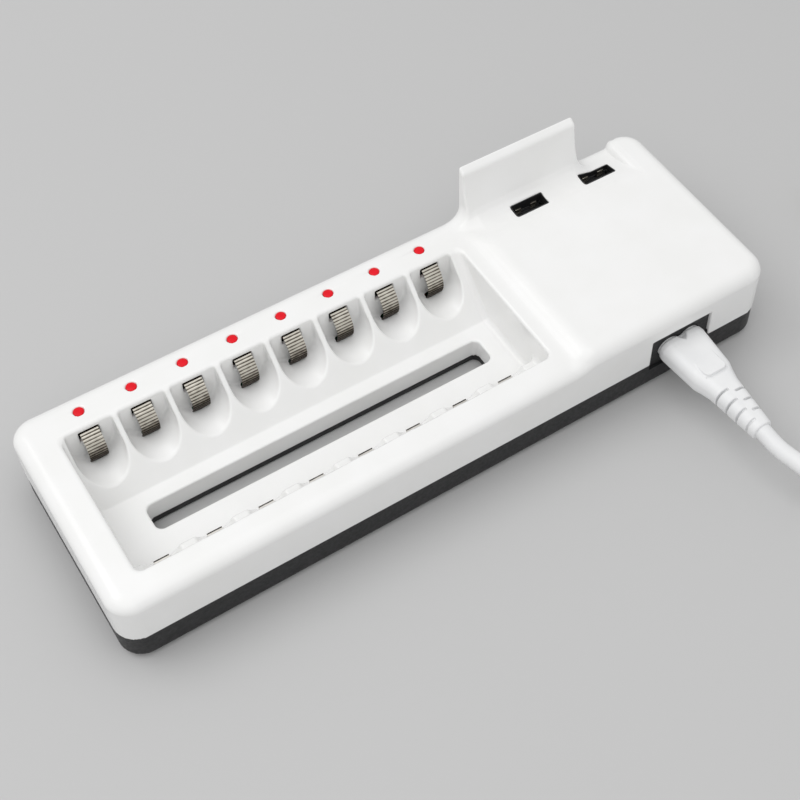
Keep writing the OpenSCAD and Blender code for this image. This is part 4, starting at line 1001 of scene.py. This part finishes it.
def screw_field(x, y, z):
    radius = np.hypot(x, y)
    head = meet(radius - HEAD_R, np.maximum(HEAD_Z0 - z, z - HEAD_Z1), HEAD_EDGE)
    turn = (z / THREAD - np.arctan2(y, x) / (2 * math.pi)) % 1
    ridge = THREAD_H * np.clip(2.6 - 5.2 * np.abs(turn - 0.5), 0, 1)
    swell = ridge * np.clip(SHANK_TOP - z, 0, 1)
    shank = np.maximum(radius - SHANK_R - swell, np.maximum(HEAD_Z1 - NECK - z, z - SHANK_TOP))
    depth = np.clip((z - HEAD_Z0) / RECESS_DEEP, 0, 1)
    arm, reach = ARM[0] - ARM[1] * depth, REACH[0] - REACH[1] * depth
    long_x = np.maximum(np.abs(x) - reach, np.abs(y) - arm)
    long_y = np.maximum(np.abs(y) - reach, np.abs(x) - arm)
    recess = np.maximum(np.minimum(long_x, long_y), z - HEAD_Z0 - RECESS_DEEP)
    return meet(np.minimum(head, shank), -recess, RECESS_EDGE)


screw = skin_piece("screw", screw_field, (-2.7, -2.7, 3.5), (2.7, 2.7, 16), 0.14, steel, 1.2)
screw_mesh = screw.data
bpy.data.objects.remove(screw)
screws = copies_of("case_screw_set", screw_mesh, [(x, y, 0) for x, y in PILLARS], steel)
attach(screws, "housing")
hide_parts("case_screws")

# %% [markdown]
# ## Sockets
# Each socket has a black collar that lines its opening up to the bed, a black tongue with four flat
# plated pads, and two spring fingers at the back that grip a plug. The outer two pads reach higher,
# so that the supply connects before the other two. Pads and fingers are small plates with broken
# edges. The collars are one field, cut off just below the skin of the cover, also where the foot of
# the rest rises.


# %% Sockets
def plate(name, size, bevel):
    bm = bmesh.new()
    bmesh.ops.create_cube(bm, size=1.0)
    bmesh.ops.scale(bm, vec=[s * MM for s in size], verts=bm.verts)
    bmesh.ops.bevel(bm, geom=bm.edges, offset=bevel * MM, segments=2, profile=0.5, affect="EDGES")
    return shaded(bm, bpy.data.meshes.new(name), SHARP)


COLLAR, COLLAR_T, COLLAR_LOW, COLLAR_BELOW = (6.42, 2.57, 0.37), 0.35, 28.3, 0.08
COLLAR_ROOM, COLLAR_STEP, COLLAR_TILE = (7, 3.2), 0.12, 3.0
PAD, PAD_SPOTS = (1.1, 0.2, 4.2), ((-3.6, 0.4), (-1.2, 0), (1.2, 0), (3.6, 0.4))
FINGER, FINGER_SPOTS = (2.4, 0.3, 2.4), (-3.2, 3.2)
TONGUE_T, PAD_OUT, PAD_DROP, FINGER_IN, FINGER_UP = 1.9, 0.04, 2.6, 0.35, 1.3


def collar_field(x, y, z):
    outer = np.minimum(*(round_plan(x - sx, y - sy, *COLLAR) for sx, sy in SOCKETS))
    top = body_with_rest(x, y, z) + COLLAR_BELOW
    return np.maximum(np.maximum(outer, -outer - COLLAR_T), np.maximum(top, COLLAR_LOW - z))


low_corner = (SOCKETS[0][0] - COLLAR_ROOM[0], SOCKETS[0][1] - COLLAR_ROOM[1], COLLAR_LOW - 0.5)
high_corner = (SOCKETS[1][0] + COLLAR_ROOM[0], SOCKETS[1][1] + COLLAR_ROOM[1], BLOCK_H + 2)
collars = skin_piece(
    "socket_collars", collar_field, low_corner, high_corner, COLLAR_STEP, black_plastic, COLLAR_TILE
)
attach(collars, "housing")

pad_places, finger_places = [], []
for number in (1, 2):
    low, high = (np.array(corner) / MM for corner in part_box(f"socket_tongue_{number}"))
    middle, face, top = (low[0] + high[0]) / 2, high[1] - TONGUE_T, high[2]
    for x, lift in PAD_SPOTS:
        pad_places.append((middle + x, face - PAD_OUT, top - PAD_DROP + lift))
    for x in FINGER_SPOTS:
        finger_places.append((middle + x, high[1] - FINGER_IN, top + FINGER_UP))
pads = copies_of("socket_pads", plate("pad", PAD, 0.06), pad_places, brass)
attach(pads, "housing")
fingers = copies_of("socket_fingers", plate("finger", FINGER, 0.12), finger_places, brass)
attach(fingers, "housing")

# %% [markdown]
# ## Mains cord: route
# The lead leaves the strain relief, bends down to the table and runs out of the picture. The rest
# is wound into a tied coil, and ends in a plug. The turns lie three below and two above. On one
# side of the coil every turn steps over to its next place: the lower ones slide inwards, the third
# rolls up over its neighbour, and the fourth rides across on top, so that no two turns lie in each
# other and no bend is tighter than four diameters.

# %% Route of the cord
CORD_D = 5.8
COIL_C = (152.0, -100.0)
LOW_Z = 3.9
ROWS = (38.8, 33.0, 27.2)
UPPER = (30.1, 35.9)
STEP_SECTOR = (95, 268)
COIL_FROM, COIL_TO, COIL_BY = -90, 1440, 10
LEAD_ROUTE = [
    (82.75, -82, 16), (82.75, -90, 16), (85, -98, 15), (88.25, -107, 12), (94.25, -117, 8),
    (103.25, -127, 4.8), (115.75, -134.5, 3.2), (130.75, -138.3, 3.2),
]
TAIL_ROUTE = [
    (187.9, -86, 9.72), (187.7, -80, 9.32), (187.5, -74, 8.12), (187.1, -66, 7.02), (187, -56, 6.8),
]


def coil_point(total):
    """Point on the coil after turning by so many degrees, counted from the lead's end."""
    first, last = STEP_SECTOR
    turn_no, angle = int((total - COIL_FROM) // 360), (total - COIL_FROM) % 360 + COIL_FROM
    share = min(max((angle - first) / (last - first), 0.0), 1.0)
    share = (1 - math.cos(math.pi * share)) / 2
    outer, inner = ROWS[0] - CORD_D * share, ROWS[1] - CORD_D * share
    if turn_no == 0:
        radius, height = outer, LOW_Z
    elif turn_no == 1:
        radius, height = inner, LOW_Z
    elif turn_no == 2:
        roll = math.radians(180 - 120 * share)
        radius, height = inner + CORD_D * math.cos(roll), LOW_Z + CORD_D * math.sin(roll)
    else:
        radius = UPPER[0] + CORD_D * share if turn_no == 3 else UPPER[1]
        beside = (outer, inner) if turn_no == 3 else ROWS[:2]
        lift = CORD_D**2 - min(abs(radius - under) for under in beside) ** 2
        if turn_no == 3 and 0.25 < share < 0.75:
            lift = CORD_D**2
        height = LOW_Z + math.sqrt(lift)
    a = math.radians(total)
    return (COIL_C[0] + radius * math.cos(a), COIL_C[1] + radius * math.sin(a), height)


coil_points = [coil_point(a) for a in range(COIL_FROM, COIL_TO + 1, COIL_BY)]
cord_points = LEAD_ROUTE + coil_points + TAIL_ROUTE
print("route", len(cord_points), "points")

# %% [markdown]
# ## Mains cord
# The cord is a round bar swept along the route. One smooth curve through all its points is cut
# into even steps first, and the length of that curve is the length of the cord. A curve with a
# bevel stays round in every bend.


# %% Mains cord
def blend(pair, start, end, at):
    return ((end - at) * pair[0] + (at - start) * pair[1]) / (end - start)


def smooth_path(points, step=1.5):
    """Points at even steps on a smooth curve through the given ones, in millimetres."""
    way = np.array(points, float)
    gaps = np.linalg.norm(np.diff(way, axis=0), axis=1) ** 0.5
    t = np.concatenate([[0], np.cumsum(gaps)])
    ends = np.vstack([2 * way[0] - way[1], way, 2 * way[-1] - way[-2]])
    te = np.concatenate([[-gaps[0]], t, [t[-1] + gaps[-1]]])
    out = []
    for i in range(len(way) - 1):
        p, k = ends[i : i + 4], te[i : i + 4]
        for s in np.linspace(k[1], k[2], 12, endpoint=False):
            a = [blend(p[j : j + 2], k[j], k[j + 1], s) for j in range(3)]
            b = [blend(a[j : j + 2], k[j], k[j + 2], s) for j in range(2)]
            out.append(blend(b, k[1], k[2], s))
    out = np.array(out + [way[-1]])
    run = np.concatenate([[0], np.cumsum(np.linalg.norm(np.diff(out, axis=0), axis=1))])
    marks = np.linspace(0, run[-1], int(run[-1] / step) + 1)
    return np.stack([np.interp(marks, run, out[:, j]) for j in range(3)], 1), run[-1]


cord_way, cord_run = smooth_path(cord_points)
cord_curve = bpy.data.curves.new("mains_cord", "CURVE")
cord_curve.dimensions = "3D"
cord_curve.bevel_depth = CORD_D / 2 * MM
cord_curve.bevel_resolution = 5
cord_curve.use_fill_caps = True
line = cord_curve.splines.new("POLY")
line.points.add(len(cord_way) - 1)
line.points.foreach_set("co", np.column_stack([cord_way * MM, np.ones(len(cord_way))]).ravel())
line.use_smooth = True
cord_curve.materials.append(cord_white)
mains_cord = new_object("mains_cord", cord_curve)
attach(mains_cord, "housing")
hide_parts("cord_lead", "cord_coil", "cord_tail")
print("cord", round(cord_run), "mm in", len(cord_way), "points")
